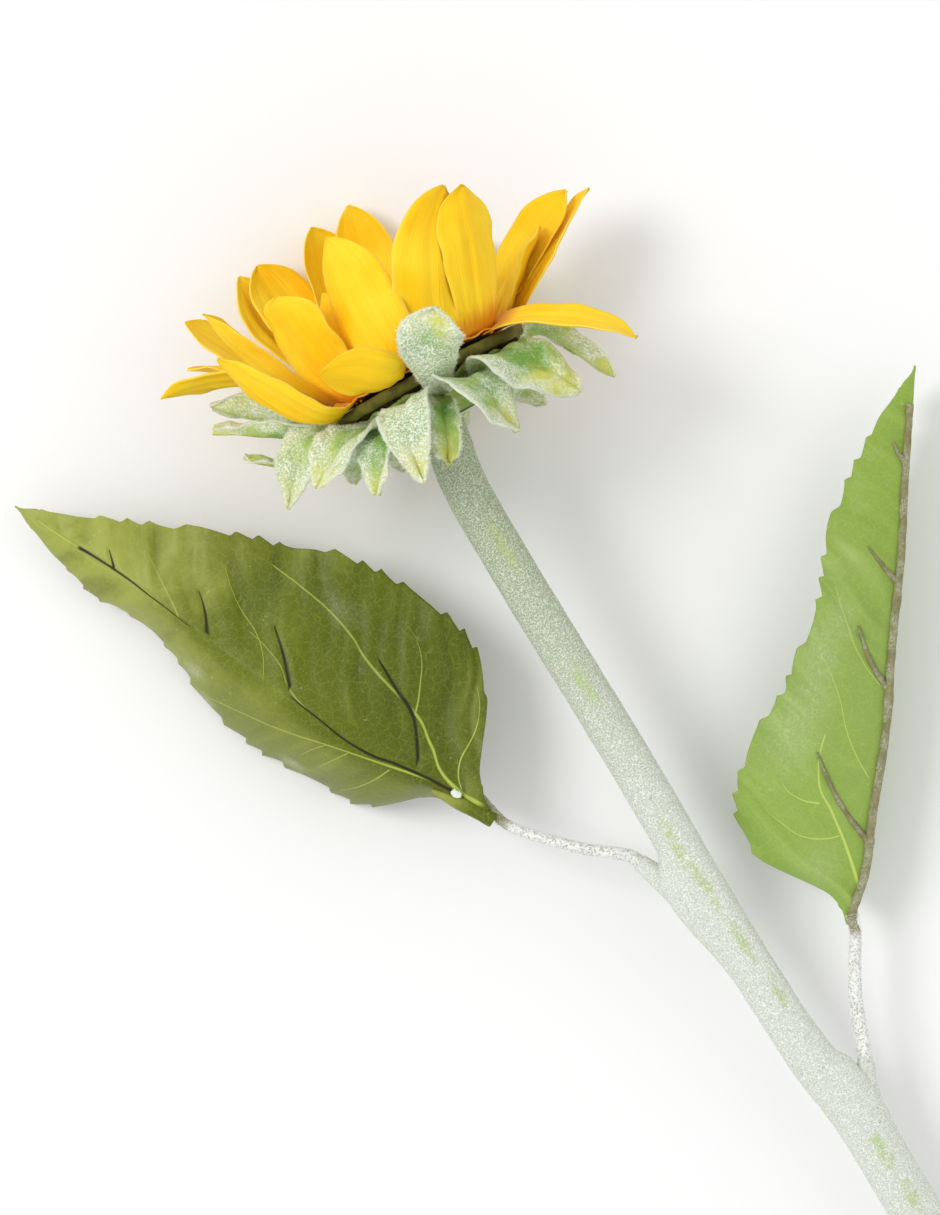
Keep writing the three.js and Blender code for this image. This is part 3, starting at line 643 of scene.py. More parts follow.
def band_material():
    n = Nodes("olive band fabric", 0.75)
    cloud = n.grain(150, 3, 0.6)
    olive = n.mix(n.ramp(cloud, 0.35, 0.65), rgb(76, 72, 6), rgb(112, 106, 16))
    n.colour(n.mix(n.ramp(n.grain(900, 2, 0.6), 0.6, 0.75, 0.0, 0.18), olive,
                   rgb(150, 146, 60)))
    n.bump(cloud, 0.0004, 0.5)
    return n.material


def floret_material():
    n = Nodes("brown floret fabric", 0.8)
    share, _, _ = n.parts_of("blade")
    speck = n.grain(700, 2, 0.6)
    outer = n.mix(n.ramp(speck, 0.4, 0.6), rgb(120, 66, 18), rgb(206, 140, 40))
    inner = n.mix(n.ramp(speck, 0.4, 0.6), rgb(52, 28, 10), rgb(104, 62, 20))
    n.colour(n.mix(n.ramp(share, 0.5, 0.95), inner, outer))
    return n.material


def plain_material(name, first, second, scale, roughness):
    n = Nodes(name, roughness)
    n.colour(n.mix(n.ramp(n.grain(scale, 3, 0.6), 0.35, 0.65), first, second))
    n.bump(n.grain(scale * 4, 2, 0.6), 0.0004, 0.5)
    return n.material


# ---- bloom ----
def make_petals():
    """24 petals on one ring of the same fabric."""
    bm = new_bmesh()
    random.seed(7)
    for petal in PETALS:
        surface = petal_surface(**petal)
        tone = random.random()
        pleats = random.uniform(3.5, 5)
        lean = random.uniform(-0.5, 0.5)

        def shaped(s, q, surface=surface, tone=tone, pleats=pleats, lean=lean):
            point, face = surface(s, q)
            drift = q + 0.25 * lean * s
            ripple = 0.3 * math.sin(drift * pleats * math.pi + 9 * tone)
            ripple = ripple * smooth(0, 0.25, s) * smooth(1, 0.55, s)
            crease = 0.8 * math.exp(-(drift / 0.12) ** 2) * smooth(0, 0.15, s) * smooth(0.95, 0.4, s)
            soft = noise.noise(Vector((s * 3, q * 1.2, tone * 50))) * 1.1 * smooth(0, 0.4, s)
            flutter = noise.noise(Vector((s * 6, q, tone * 90))) * 1.2 * q * q * smooth(0.1, 0.5, s)
            placed = bloom_to_row(point + face * (ripple - crease + soft + flutter))
            placed.z = max(placed.z, PETAL_TABLE_GAP)
            return placed

        add_blade(bm, shaped, 42, 20, tone)

    def ring(s, q):
        angle, radius = math.tau * s, 29 + 3.4 * q
        ruffle = 0.35 * math.sin(angle * 24)
        return bloom_to_row(at_angle(angle, radius, 3.2 + ruffle))

    add_band(bm, ring, 4, 0.06, 0.5)
    petals = finish_mesh("petals_fabric", bm, petal_material(), "petals")
    thicken(petals, PETAL_SHEET)


def bract_shape(bract, tone):
    """A bract's own surface(s, q), with its crease or ridge and a jagged edge, in (u, d, h)."""
    outline = BRACT_SHAPE | bract
    outline.pop("frost", None)
    ridge = outline.pop("ridge", None)
    surface = petal_surface(**outline, root=BRACT_ROOT)

    def shaped(s, q):
        point, face = surface(s, q)
        soft = noise.noise(Vector((s * 3.5, q * 1.5, tone * 50))) * 1.6 * smooth(0, 0.3, s)
        flutter = noise.noise(Vector((s * 7, q, tone * 90))) * 2.2 * q * q * smooth(0.1, 0.4, s)
        crease = 1.3 * (1 - abs(q)) ** 3 * smooth(0, 0.3, s)
        if ridge is not None:
            crease = -3.2 * max(1 - abs(q - ridge) / 0.75, 0) * smooth(0.15, 0.5, s)
        jag = 0.35 * noise.noise(Vector((s * 45, tone * 90, math.copysign(1, q)))) * q ** 8
        side = (surface(s, 1)[0] - surface(s, -1)[0]).normalized()
        return point + face * (soft + flutter - crease) + side * (jag * math.copysign(1, q)), face

    return shaped


def make_bracts():
    """17 flocked bracts on one collar of the same fabric."""
    bm = new_bmesh()
    random.seed(11)
    shapes = []
    for bract in BRACTS:
        tone = random.random()
        frost = bract.get("frost", 0.5)
        shape = bract_shape(bract, tone)
        shapes.append(shape)

        def shaped(s, q, shape=shape):
            return bloom_to_row(shape(s, q)[0])

        add_blade(bm, shaped, 36, 18, frost)

    def collar(s, q):
        """A cup of the same fabric whose frilled rim comes up behind the bracts."""
        angle, share = math.tau * s, (q + 1) / 2
        frill = 0.8 * math.sin(angle * COLLAR_FRILLS) + 1.2 * noise.noise(at_angle(angle, 7, 2))
        radius = 9 + 22 * share + 0.4 * frill * share ** 4
        height = -14.6 + 10.6 * share ** 1.3 + 0.6 * frill * share ** 4
        return bloom_to_row(at_angle(angle, radius, height))

    add_band(bm, collar, 14, 0.1, 0.3, across=0)
    bracts = finish_mesh("bracts_fabric", bm, bract_material(), "bracts")
    thicken(bracts, BRACT_SHEET)
    make_bract_fringe(shapes)


def copies_of(make_one, count, place_of):
    """Copies of one small shape, doubled until there are enough, each moved by its own matrix."""
    one = new_bmesh()
    make_one(one)
    size = len(one.verts)
    pattern = bpy.data.meshes.new("pattern")
    one.to_mesh(pattern)
    one.free()
    bm = bmesh.new()
    bm.from_mesh(pattern)
    bpy.data.meshes.remove(pattern)
    made = 1
    while made < count:
        more = min(made, count - made)
        bm.verts.ensure_lookup_table()
        copied = bm.verts[:more * size]
        edges = {edge for vert in copied for edge in vert.link_edges}
        faces = {face for vert in copied for face in vert.link_faces}
        bmesh.ops.duplicate(bm, geom=copied + list(edges) + list(faces))
        made += more
    verts = list(bm.verts)
    for k in range(count):
        matrix = place_of(k)
        for vert in verts[k * size:(k + 1) * size]:
            vert.co = matrix @ vert.co
    return bm


def one_fibre(bm):
    """A short straight fibre with a wide foot, standing on the origin, 1 mm tall."""
    bmesh.ops.create_cone(bm, cap_ends=True, segments=3, radius1=0.09, radius2=0.0, depth=1,
                          matrix=Matrix.Translation((0, 0, 0.5)))


def finish_fibres(name, place_of, count, material):
    finish_mesh(name, copies_of(one_fibre, count, place_of), material, smooth_faces=False)


def fibre_place(root, outward, lean, length):
    """A fibre at root, near to outward, leaning at random."""
    ahead = (outward + Vector([random.gauss(0, lean) for _ in range(3)])).normalized()
    turn = ahead.to_track_quat("Z", "Y").to_matrix().to_4x4()
    return Matrix.Translation(root - outward * 0.15) @ turn @ Matrix.Scale(length, 4)


def make_bract_fringe(shapes):
    """White fibres along the cut edges of the bracts, and shorter ones on their faces."""
    random.seed(23)

    def place_of(k):
        shape = shapes[k % len(shapes)]
        s = random.uniform(0.08, 0.98)
        edge = k % 3 > 0
        q = random.choice((-1, 1)) * (random.uniform(0.95, 1) if edge else random.uniform(0, 0.95))
        point, face = shape(s, q)
        inner, _ = shape(s, q * 0.9)
        root = bloom_to_row(point)
        out = (root - bloom_to_row(inner)).normalized()
        normal = (bloom_to_row(point + face) - root).normalized()
        if not edge:
            out = normal * random.choice((-1, 1))
            root = root + out * (BRACT_SHEET / 2)
        return fibre_place(root, out, 0.5, random.uniform(0.6, 1.5) if edge else random.uniform(0.3, 0.8))

    flock = flock_material("white bract flock", (226, 232, 206), (250, 252, 240))
    finish_fibres("bracts_flock", place_of, BRACT_FIBRES, flock)


def add_turned(bm, profile, sides):
    """A closed profile of (radius, h) turned round the bloom's axis."""
    verts = [bm.verts.new((r, 0, h)) for r, h in profile]
    edges = [bm.edges.new(pair) for pair in zip(verts, verts[1:])]
    if profile[0][0] > 0:
        edges.append(bm.edges.new((verts[-1], verts[0])))
    bmesh.ops.spin(bm, geom=verts + edges, axis=(0, 0, 1), cent=(0, 0, 0), angle=math.tau, steps=sides,
                   use_merge=True)
    bmesh.ops.remove_doubles(bm, verts=bm.verts, dist=0.001)


def set_in_bloom(bm):
    for vert in bm.verts:
        vert.co = bloom_to_row(vert.co)
    bmesh.ops.recalc_face_normals(bm, faces=bm.faces)


def make_receptacle():
    """A cup painted dark as painted shade, a smooth olive band round its rim and a frayed brown edge under
    the band.
    """
    bm = new_bmesh()
    profile = [(0, -15), (9, -15), (11, -13.4), (23, -8.4), (28, -5.2), (31.2, -2.4), (31.2, 0.5), (0, 1.5)]
    add_turned(bm, profile, 96)
    set_in_bloom(bm)
    # The cup's dark colour is painted shade between the band and the bracts.
    painted_shade_core = plain_material("receptacle core in painted shade", rgb(38, 28, 8), rgb(70, 54, 20), 260, 0.9)
    finish_mesh("receptacle_core_painted_shade", bm, painted_shade_core, "receptacle")
    bm = new_bmesh()
    lip = [(29, 0.9), (32.4, 1.1), (33.5, 0.7), (33.9, -0.5), (33.7, -1.9), (32.6, -2.7), (29, -2.5)]
    add_turned(bm, lip, 180)
    for vert in bm.verts:
        angle = math.atan2(vert.co.y, vert.co.x)
        spot = at_angle(angle, 3, 4)
        vert.co *= 1 + 0.008 * noise.noise(spot * 2)
        vert.co.z += 0.55 * noise.noise(spot) + 0.2 * noise.noise(spot * 5)
    set_in_bloom(bm)
    finish_mesh("receptacle_band", bm, band_material())
    random.seed(17)

    def place_of(_):
        angle = random.uniform(0, math.tau)
        height = random.uniform(-4.4, -1.6)
        radius = 29 + 2.2 * smooth(-5, -1.8, height)
        out = at_angle(angle, 1, random.uniform(-0.8, 0))
        root = Vector((out.x * radius, out.y * radius, height))
        placed = bloom_to_row(root)
        return fibre_place(placed, (bloom_to_row(root + out) - placed).normalized(), 0.4,
                           random.uniform(0.8, 2.2))

    fray = flock_material("frayed brown edge", (52, 36, 10), (112, 84, 30))
    finish_fibres("receptacle_fray", place_of, FRAY_FIBRES, fray)


def one_floret(bm):
    """A small open tube flower, 1 mm tall, wider at its lip."""
    made = bmesh.ops.create_cone(bm, cap_ends=True, segments=6, radius1=0.34, radius2=0.5, depth=1,
                                 matrix=Matrix.Translation((0, 0, 0.5)))
    lip = {face for vert in made["verts"] for face in vert.link_faces if face.calc_center_median().z > 0.99}
    bmesh.ops.inset_region(bm, faces=list(lip), thickness=0.16, depth=-0.22)


def make_disc():
    """The seed head: a dark bed with florets set along the two families of spirals."""
    bm = new_bmesh()
    profile = [(0, 2.4), (DISC_RADIUS - 0.3, 2.4), (DISC_RADIUS - 0.3, 4)]
    profile += [((DISC_RADIUS - 0.3) * (1 - k / 14), disc_height(1 - k / 14)) for k in range(1, 15)]
    add_turned(bm, profile, 64)
    set_in_bloom(bm)
    bed = plain_material("dark seed head", rgb(36, 20, 8), rgb(74, 44, 18), 500, 0.85)
    finish_mesh("disc_bed", bm, bed, "disc")
    random.seed(5)
    golden = math.pi * (3 - math.sqrt(5))

    def place_of(k):
        share = math.sqrt((k + 0.5) / FLORETS)
        angle = k * golden
        radius = share * (DISC_RADIUS - 1)
        height = disc_height(share)
        slope = (disc_height(min(share + 0.02, 1)) - disc_height(share - 0.02)) / (0.04 * DISC_RADIUS)
        out = at_angle(angle)
        local = (Vector((0, 0, 1)) - out * slope + out * random.uniform(-0.1, 0.25)).normalized()
        root = bloom_to_row(out * radius + Vector((0, 0, height - 0.4)))
        ahead = bloom_to_row(out * radius + Vector((0, 0, height - 0.4)) + local) - root
        tall = 1.5 + 0.9 * smooth(0.45, 0.9, share) + random.uniform(-0.2, 0.2)
        wide = 1.15 + 0.5 * share
        turn = ahead.to_track_quat("Z", "Y").to_matrix().to_4x4()
        spin = Matrix.Rotation(random.uniform(0, 1), 4, "Z")
        return Matrix.Translation(root) @ turn @ spin @ Matrix.Diagonal((wide, wide, tall, 1))

    bm = copies_of(one_floret, FLORETS, place_of)
    blade = bm.verts.layers.float_vector["blade"]
    middle = bloom_to_row((0, 0, 0))
    for vert in bm.verts:
        vert[blade] = ((vert.co - middle).length / DISC_RADIUS, 0, 0)
    finish_mesh("disc_florets", bm, floret_material())


def disc_height(share):
    """Height of the seed head above the rim plane, from the middle (0) to its edge (1)."""
    share = min(max(share, 0), 1)
    return 2.4 + DISC_DOME * math.sqrt(1 - 0.85 * share * share) - 1.6 * (1 - share) ** 4


# ---- leaves ----
def leaf_to_row(leaf, x, y, z):
    """A place on a leaf (along it, across it, up) in the row frame."""
    heading = math.radians(leaf["heading"])
    base = Vector((leaf["base"][0], leaf["base"][1], 0)) + Vector((BLOOM_PLACE.x, BLOOM_PLACE.y, 0))
    return base + Matrix.Rotation(heading, 3, "Z") @ Vector((x, y, z))


def tooth_depth(s):
    """How far the margin is cut in: teeth point to the tip, with a slow rise and a short step back."""
    phase = (s * LEAF_TEETH + 0.35 * math.sin(s * 31)) % 1
    rise = 1 - phase / 0.86
    return TOOTH_DEPTH * (rise ** 0.8 if rise > 0 else smooth(0.86, 1, phase))


def margin_width(values, s, q):
    width = along(values, s) * to_point(s)
    return max(width - min(tooth_depth(s), 0.12 * width) * abs(q) ** 6, 0.12)


def to_point(s):
    """Draws a leaf's last few millimetres in to its point."""
    return 1 - 0.88 * smooth(0.965, 1, s)


def left_leaf_point(s, q):
    """The left leaf: the upper half (q below 0) lies nearly flat, and the lower half hangs to the table."""
    leaf = LEFT_LEAF
    middle, top, reach = along(leaf["midrib"], s), along(leaf["height"], s), abs(q)
    if q < 0:
        width = margin_width(leaf["upper"], s, q)
        wave = 2.4 * math.sin(math.tau * (4.4 * s + 0.1)) * reach * reach * min(width / 20, 1)
        return Vector((s * LEAF_LENGTH, middle - reach * width, top - 0.12 * reach * width + wave))
    width = margin_width(leaf["lower_reach"], s, q)
    out = 1 - (1 - reach) ** 1.5
    return Vector((s * LEAF_LENGTH, middle + out * width, top - along(leaf["lower_drop"], s) * reach ** 1.4))


def right_leaf_point(s, q):
    """The right leaf: one half (q above 0) lies on top, and the other leans on the table under it."""
    leaf = RIGHT_LEAF
    middle, top, reach = along(leaf["midrib"], s), along(leaf["height"], s), abs(q)
    if q > 0:
        width = margin_width(leaf["upper"], s, q)
        wave = 1.8 * math.sin(math.tau * (3.3 * s + 0.3)) * reach * reach * min(width / 20, 1)
        arch = 3 * math.sin(math.pi * reach) * min(width / 30, 1)
        return Vector((s * LEAF_LENGTH, middle + reach * width, top + arch + wave))
    across = reach ** 1.2 * along(leaf["under_reach"], s) * to_point(s)
    return Vector((s * LEAF_LENGTH, middle + across, top - along(leaf["under_drop"], s) * reach))


def nearness(x, y, line, half_width):
    """1 on a line of points and 0 at half_width from it, thinner toward the line's end."""
    best = 0
    last = len(line) - 2
    for k, ((ax, ay), (bx, by)) in enumerate(zip(line, line[1:])):
        if not (min(ax, bx) - half_width < x < max(ax, bx) + half_width):
            continue
        dx, dy = bx - ax, by - ay
        t = min(max(((x - ax) * dx + (y - ay) * dy) / (dx * dx + dy * dy), 0), 1)
        gap = math.hypot(x - ax - t * dx, y - ay - t * dy)
        share = 1 - (k + t) / (last + 1)
        best = max(best, 1 - gap / (half_width * (0.35 + 0.65 * share)))
    return smooth(0, 1, best)


def leaf_relief(x, y, lines):
    """Veins stand up a little, and creases sink over the ribs."""
    vein = max(nearness(x, y, points, max(width, 1.3)) for points, width in lines["veins"])
    crease = max((nearness(x, y, points, width + 1) for points, width in lines["creases"]), default=0)
    return 0.15 * vein - 0.7 * crease


def scuff_at(x, y, lines):
    """How worn a place on a leaf is."""
    worn = 0
    for (cx, cy), (across, over), *share in lines["scuffs"]:
        worn = max(worn, (1 - math.hypot((x - cx) / across, (y - cy) / over)) * (share[0] if share else 1))
    return worn


def make_leaf(name, leaf, point_at, seen_side, lines, material, node):
    """A blade with buckles, veins that stand up and creases that sink; its lines lie on the side that shows.
    Each point's buckle height goes to the material, which paints highlight and shade from it.
    """
    bm = new_bmesh()
    marks = bm.verts.layers.float_vector.new("marks")
    blade = bm.verts.layers.float_vector["blade"]
    found, shades = [], []

    def shaped(s, q):
        point = point_at(s, q)
        x, y = point.x, point.y
        slant = x - 0.75 * abs(y) + 9 * noise.noise(Vector((x / 30, y / 30, 2)))
        buckle = noise.noise(Vector((slant / 9, y / 46, 3.1 * seen_side)))
        wrinkle = noise.noise(Vector((slant / 4, y / 20, 7.7)))
        point.z += (2.3 * buckle + 0.5 * wrinkle) * smooth(0, 0.3, abs(q)) * smooth(0, 0.1, 1 - s)
        # The buckle height, kept for the painted highlight and painted shade in the material.
        shades.append(0.5 + 0.6 * (buckle + 0.4 * wrinkle) * smooth(0, 0.3, abs(q)))
        seen = q * seen_side >= 0 or lines["both_sides"]
        point.z += leaf_relief(x, y, lines) if seen else 0
        found.append((x, y, scuff_at(x, y, lines) if seen else 0))
        return leaf_to_row(leaf, *point)

    verts = add_blade(bm, shaped, 300, 140, 0.5)
    for vert, values, shade in zip(verts, found, shades):
        vert[marks] = values
        vert[blade].z = shade
    thicken(finish_mesh(name, bm, material, node), LEAF_SHEET)


def blade_normal(point_at, s, q):
    step = 0.004
    ahead = point_at(min(s + step, 1), q) - point_at(max(s - step, 0), q)
    aside = point_at(s, min(q + step, 1)) - point_at(s, max(q - step, -1))
    return ahead.cross(aside).normalized()


def on_blade(point_at, s, q, radius, side):
    """The middle of a rod of this radius that lies on one side of a blade."""
    return point_at(s, q) + blade_normal(point_at, s, q) * (side * (0.8 + radius))


def bloom_side(points):
    """Points given from under the bloom, in the row frame."""
    return [Vector(p) + Vector((BLOOM_PLACE.x, BLOOM_PLACE.y, 0)) for p in points]


def lumpy(amount, pitch, seed):
    """A radius factor that wanders round and along a tube."""
    def shape(s, angle):
        spot = at_angle(angle, 0.9, s * pitch + seed)
        return 1 + amount * noise.noise(spot) + 0.6 * amount * noise.noise(spot * 2.7)
    return shape


def make_left_petiole(material):
    """Leaf stalk and the rod under the blade: white flock on the bare stalk, then bare plastic."""
    leaf = LEFT_LEAF
    stalk = bloom_side([(-18.8, -173.2, 35.3), (-21.3, -168.9, 35.4), (-23.5, -165.4, 35.5), (-34, -157, 36),
                        (-43, -148, 36), (-52, -137, 36)])

    def under_fold(s):
        aside = -LEFT_RIB_ASIDE / along(leaf["upper"], s)
        return leaf_to_row(leaf, *on_blade(left_leaf_point, s, aside, 2.35, -1))

    rib = [under_fold(s) for s in (0.04, 0.12, 0.25, 0.4, 0.55, 0.7, 0.85)]
    bm = new_bmesh()
    flocked = 0.43
    add_tube(bm, stalk + rib, lambda s: 2.3 - 1.5 * s, 18, 260, lumpy(0.1, 60, 1),
             lambda s: smooth(flocked, flocked - 0.03, s))
    finish_mesh("petiole_left_rod", bm, material, "petiole_left")
    return stalk + rib[:1]


def make_right_petiole(material):
    """Leaf stalk, midrib and side ribs, standing on the blade's underside."""
    leaf = RIGHT_LEAF
    stalk = bloom_side([(7.6, -267.4, 27.1), (9.7, -263, 26.8), (11.3, -259.6, 26.5), (17, -245, 25),
                        (23, -234, 24.6), (28, -226, 25.2)])

    def on_fold(s):
        aside = RIGHT_RIB_ASIDE / along(leaf["upper"], s)
        return leaf_to_row(leaf, *on_blade(right_leaf_point, s, aside, 0.6 - 0.4 * s, 1))

    midrib = [on_fold(s) for s in (0.02, 0.1, 0.2, 0.35, 0.5, 0.65, 0.8, 0.93)]
    bm = new_bmesh()
    flocked = 0.4

    def knots(s, angle):
        swell = sum(0.22 * math.exp(-((s - at) / 0.006) ** 2) for at in (0.46, 0.58, 0.72, 0.81))
        groove = 0.16 * smooth(0.4, 0.9, math.sin(angle)) * (s > flocked)
        return lumpy(0.16, 70, 5)(s, angle) + swell - groove

    add_tube(bm, stalk + midrib, lambda s: 2.4 - 0.7 * smooth(0.2, 0.5, s) - 0.5 * s, 20, 300, knots,
             lambda s: smooth(flocked, flocked - 0.03, s))
    for start, end, reach in ((0.15, 0.3, 0.5), (0.42, 0.53, 0.45), (0.61, 0.67, 0.45), (0.82, 0.86, 0.4)):
        spread = [leaf_to_row(leaf, *on_blade(right_leaf_point, start + (end - start) * t ** 1.3, reach * t,
                                              0.2 - 0.2 * t, 1)) for t in (0.25, 0.5, 0.75, 1)]
        add_tube(bm, [on_fold(start), *spread], lambda s: 1 - 0.75 * s ** 2, 12, 40,
                 lumpy(0.2, 12, start * 9))
    finish_mesh("petiole_right_rod", bm, material, "petiole_right")
    return stalk + midrib[:1]


# ---- stem ----
# Worn yellow green streaks: distance from the bloom, aside, half length, half width.
STEM_PATCHES = [
    (110, 0, 14, 3.6), (168, -1, 19, 3), (184, 0.5, 20, 2.8), (206, 1.5, 14, 3.2), (228, 3, 11, 2.6),
    (292, 0.5, 12, 3.6), (309, 1, 11, 3.6), (60, 1, 16, 3.6), (355, -2, 14, 3), (400, 1, 18, 3),
]
STEM_ROUTE = [  # (x, y) from under the bloom to the cut end
    (-4.8, -15.9), (-5.3, -20), (-6.8, -26), (-8.3, -36), (-8.6, -58), (-8.3, -85), (-7.6, -115),
    (-7.1, -145), (-7.2, -180), (-7.1, -205), (-6.6, -225), (-5.6, -245), (-4.3, -258), (-2.4, -268),
    (-1.3, -280), (-0.9, -300), (-0.8, -380), (-0.8, CUT_END_Y),
]
STEM_START_Y = STEM_ROUTE[0][1]
SLOPE_START_Y = -25  # the stem is level from the bloom to here
STEM_STEPS = 60


def stem_route():
    """Points set evenly along the stem, which slopes down from the bloom to the table."""
    slope = (BLOOM_PLACE.z - CUT_END_Z) / (SLOPE_START_Y - CUT_END_Y)
    drop = [min(y - SLOPE_START_Y, 0) * slope for _, y in STEM_ROUTE]
    points = bloom_side([(x, y, BLOOM_PLACE.z + down) for (x, y), down in zip(STEM_ROUTE, drop)])
    lengths = [0]
    for a, b in zip(points, points[1:]):
        lengths.append(lengths[-1] + (b - a).length)
    even = []
    for k in range(STEM_STEPS + 1):
        target = lengths[-1] * k / STEM_STEPS
        i = min(next(j for j in range(1, len(lengths)) if lengths[j] >= target - 1e-6), len(lengths) - 1)
        t = (target - lengths[i - 1]) / (lengths[i] - lengths[i - 1])
        even.append(catmull(points, (i - 1 + t) / (len(points) - 1)))
    return even


def down_stem(s):
    """Distance from the bloom for s from 0 to 1 along the stem."""
    return -STEM_START_Y + s * (STEM_START_Y - CUT_END_Y)


def stem_radius(s):
    more, first, last = STEM_SWELL
    return STEM_RADIUS + more * smooth(first, last, down_stem(s))


def stem_side(s, angle):
    """The stem flares on its left below the first stalk, and steps out on its right at the second."""
    y = down_stem(s)
    left = 0.7 * smooth(222, 182, y) * smooth(168, 181, y) * max(math.cos(angle), 0) ** 2
    right = 0.22 * smooth(255, 261, y) * smooth(300, 266, y) * max(-math.cos(angle), 0) ** 1.5
    coarse = noise.noise(at_angle(angle, 1.6, s * 60))
    fine = noise.noise(at_angle(angle, 9, s * 420))
    return 1 + left + right + 0.018 * coarse + 0.02 * fine


def streak_at(y, angle):
    """How much of the flock is worn off at a place on the upper side."""
    aside = -math.cos(angle) * STEM_RADIUS
    worn = 0
    for at, beside, half_length, half_width in STEM_PATCHES:
        worn = max(worn, 1 - math.hypot((y - at) / half_length, (aside - beside) / half_width))
    return worn if math.sin(angle) > 0 else 0


def make_stem():
    """The rod with its two stubs; its route is given back for the flock."""
    route = stem_route()
    bm = new_bmesh()
    add_tube(bm, route, stem_radius, 64, 420, stem_side)
    blade = bm.verts.layers.float_vector["blade"]
    for vert in bm.verts:
        s, turn, _ = vert[blade]
        vert[blade] = (s, turn, max(streak_at(down_stem(s), (turn + 1) * math.pi), 0))
    left = bloom_side([(-6.5, -214, 34), (-11, -198, 34.6), (-15, -185, 35), (-20.9, -169.6, 35.4)])
    add_tube(bm, left, lambda s: 7.3 - 4.6 * s ** 1.3, 28, 60, lumpy(0.05, 9, 3))
    right = bloom_side([(0, -288, 27), (3, -279, 27.4), (5.8, -271, 27.3), (9.4, -263.6, 26.9)])
    add_tube(bm, right, lambda s: 5.6 - 2.7 * s, 28, 50, lumpy(0.05, 9, 4))
    finish_mesh("stem_rod", bm, stem_material(), "stem")
    return route


def set_on_tube(line, radius_at, lean, lengths):
    """Places a fibre at random on a tube."""
    def place_of(_):
        s = random.uniform(0, 1)
        angle = random.uniform(0, math.tau)
        middle, side, over = tube_frame(line, s)
        out = side * math.cos(angle) + over * math.sin(angle)
        return fibre_place(middle + out * radius_at(s, angle), out, lean, random.uniform(*lengths))

    return place_of


def make_stem_flock(route):
    random.seed(31)
    place_of = set_on_tube(route, lambda s, angle: stem_radius(s) * stem_side(s, angle), 0.55, (0.45, 0.9))
    flock = flock_material("grey green flock", (206, 214, 196), (250, 252, 246))
    finish_fibres("stem_flock", place_of, STEM_FIBRES, flock)


def make_stalk_flock(name, stalk, thick, taper, count, seed):
    random.seed(seed)
    place_of = set_on_tube(stalk, lambda s, _: thick - taper * s, 0.5, (0.4, 0.8))
    flock = flock_material("white stalk flock", (226, 228, 222), (252, 252, 250))
    finish_fibres(name, place_of, count, flock)


def make_leaf_sleeve(print_fabric):
    """The foot of the left leaf folded round its stalk, with a drop of glue on it."""
    leaf = LEFT_LEAF
    line = [leaf_to_row(leaf, *p) for p in ((-3, 0.4, 36.6), (3, 0.8, 37.2), (10, 1.8, 38), (19, 3, 38.4))]
    bm = new_bmesh()
    add_tube(bm, line, lambda s: 2.4 + 0.3 * s - 2.4 * s ** 4, 24, 40, lumpy(0.08, 5, 2), lambda s: 0.5)
    bm.verts.layers.float_vector.new("marks")
    finish_mesh("leaf_left_sleeve", bm, print_fabric)
    bm = new_bmesh()
    bmesh.ops.create_icosphere(bm, subdivisions=4, radius=1)
    place = leaf_to_row(leaf, 11.9, -0.4, 40.3)
    for vert in bm.verts:
        bump = 1 + 0.3 * noise.noise(vert.co * 1.7)
        vert.co = place + Matrix.Rotation(math.radians(leaf["heading"]), 3, "Z") @ Vector(
            (vert.co.x * 1.9 * bump, vert.co.y * 1.2 * bump, vert.co.z * 0.8 * bump))
    glue = Nodes("glue drop", 0.35)
    cloud = glue.grain(500, 2, 0.5)
    glue.colour(glue.mix(cloud, rgb(206, 212, 196), rgb(246, 248, 242)))
    glue.bump(cloud, 0.0003, 0.4)
    finish_mesh("leaf_left_glue", bm, glue.material)


# ---- stage ----
def make_stage():
    """A plain pale floor under the flower."""
    bm = bmesh.new()
    bmesh.ops.create_grid(bm, x_segments=1, y_segments=1, size=4)
    mesh = bpy.data.meshes.new("floor")
    bm.to_mesh(mesh)
    bm.free()
    floor = bpy.data.objects.new("floor", mesh)
    paint = Nodes("pale floor", 0.9)
    paint.shader.inputs["Base Color"].default_value = (0.9, 0.9, 0.9, 1)
    mesh.materials.append(paint.material)
    bpy.context.scene.collection.objects.link(floor)


def add_area_light(name, place, size, power):
    light = bpy.data.lights.new(name, "AREA")
    light.shape = "DISK"
    light.size = size
    light.energy = power
    lamp = bpy.data.objects.new(name, light)
    lamp.location = place
    lamp.rotation_euler = (Vector((0, 0, 0)) - Vector(place)).to_track_quat("-Z", "Y").to_euler()
    bpy.context.scene.collection.objects.link(lamp)


def make_lights():
    """A plain white room with one soft lamp from the upper left."""
    bpy.context.scene.view_settings.view_transform = "Standard"
    world = bpy.data.worlds.new("studio")
    bpy.context.scene.world = world
    world.use_nodes = True
    world.node_tree.nodes["Background"].inputs["Color"].default_value = (1, 1, 1, 1)
    world.node_tree.nodes["Background"].inputs["Strength"].default_value = 0.8
    add_area_light("key", (-0.9, 1.1, 1.9), 0.9, 20)
    add_area_light("fill", (1.4, -0.6, 1.8), 1.8, 4)


CAMERA_ROLL = math.radians(30.4)  # the stem runs from lower right to upper left of the picture
CAMERA_HEIGHT = 1.676
PIXELS_PER_METRE = 3125.0  # at the bloom's height
PICTURE = (940, 1215)
BLOOM_PIXEL = (430, 375)
CAMERA_LENS = 150
CAMERA_SENSOR = 36


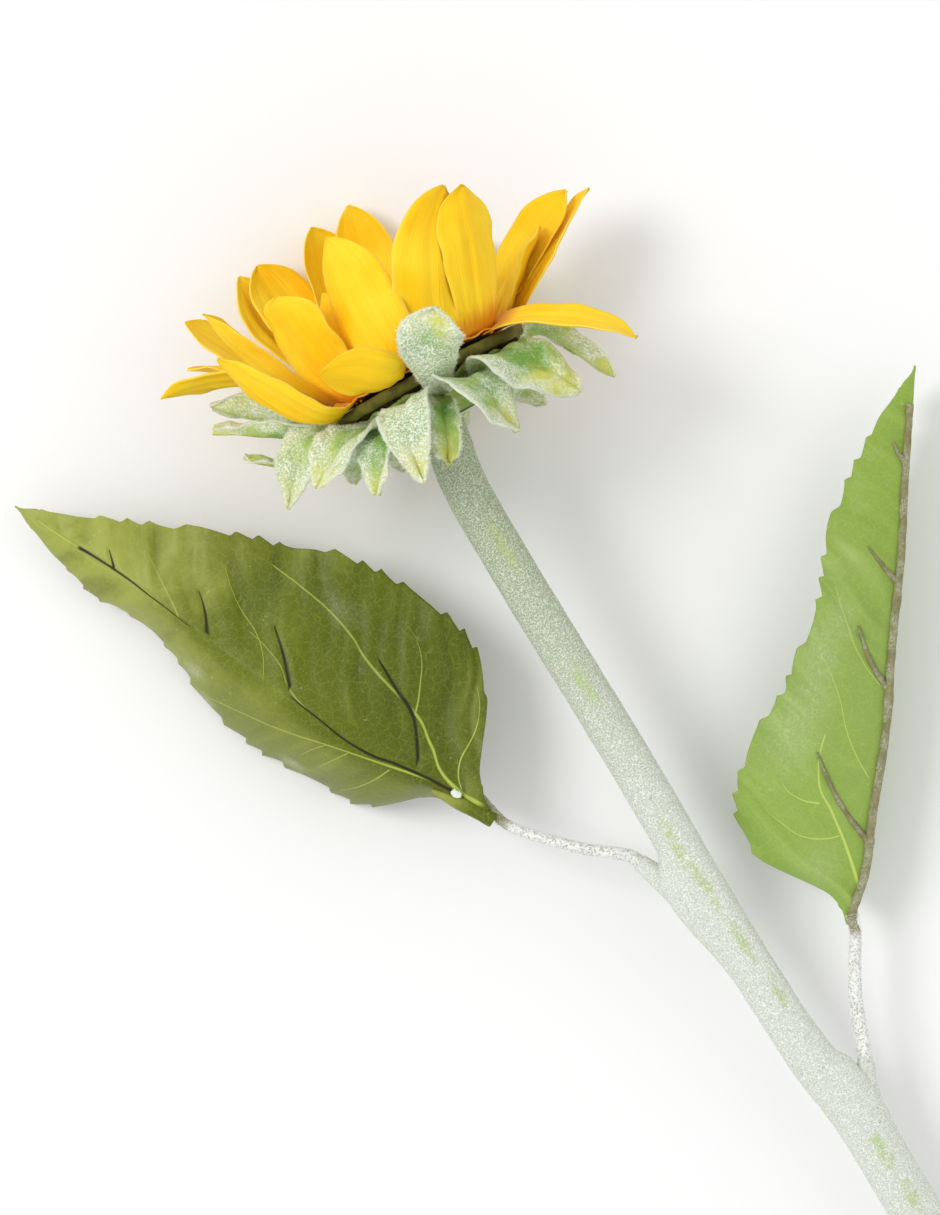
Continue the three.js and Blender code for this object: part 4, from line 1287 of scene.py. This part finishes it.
def make_camera():
    """Straight down on the flower, with the bloom at its place in the picture."""
    right = Vector((math.cos(CAMERA_ROLL), -math.sin(CAMERA_ROLL), 0))
    over = Vector((math.sin(CAMERA_ROLL), math.cos(CAMERA_ROLL), 0))
    place = BLOOM_PLACE * MM
    place += right * ((PICTURE[0] / 2 - BLOOM_PIXEL[0]) / PIXELS_PER_METRE)
    place -= over * ((PICTURE[1] / 2 - BLOOM_PIXEL[1]) / PIXELS_PER_METRE)
    place.z = CAMERA_HEIGHT
    data = bpy.data.cameras.new("camera")
    data.lens = CAMERA_LENS
    data.sensor_width = CAMERA_SENSOR
    camera = bpy.data.objects.new("camera", data)
    camera.location = place
    camera.rotation_euler = (0, 0, -CAMERA_ROLL)
    bpy.context.scene.collection.objects.link(camera)
    bpy.context.scene.camera = camera


make_petals()
make_bracts()
make_receptacle()
make_disc()
# The colour pair after the ground is painted highlight and painted shade on the buckles, and the crease
# colour is painted shadow over the ribs.
OLIVE_PRINT = leaf_material(
    "olive leaf print", LEFT_LINES, ground=(rgb(82, 93, 8), rgb(92, 103, 12), rgb(154, 162, 74)),
    buckle_light_and_shade=(rgb(150, 158, 74), rgb(60, 70, 6)), lower_half_painted_light=0.34, vein=rgb(186, 200, 88),
    crease=rgb(38, 40, 10), speckle_share=0.15)
LIGHT_PRINT = leaf_material(
    "light leaf print", RIGHT_LINES, ground=(rgb(142, 170, 78), rgb(138, 164, 78), rgb(136, 164, 68)),
    buckle_light_and_shade=(rgb(170, 190, 112), rgb(112, 140, 50)), lower_half_painted_light=0.0, vein=rgb(206, 222, 110),
    crease=rgb(90, 100, 50), speckle_share=0.2)
make_leaf("leaf_left_blade", LEFT_LEAF, left_leaf_point, -1, LEFT_LINES, OLIVE_PRINT, "leaf_blade_left")
make_leaf("leaf_right_blade", RIGHT_LEAF, right_leaf_point, 1, RIGHT_LINES, LIGHT_PRINT, "leaf_blade_right")
make_leaf_sleeve(OLIVE_PRINT)
RIBS = rib_material()
LEFT_STALK = make_left_petiole(RIBS)
RIGHT_STALK = make_right_petiole(RIBS)
make_stalk_flock("petiole_left_flock", LEFT_STALK, 2.3, 0.5, LEFT_STALK_FIBRES, 41)
make_stalk_flock("petiole_right_flock", RIGHT_STALK, 2.4, 0.4, RIGHT_STALK_FIBRES, 43)
STEM_LINE = make_stem()
make_stem_flock(STEM_LINE)
make_stage()
make_lights()
make_camera()
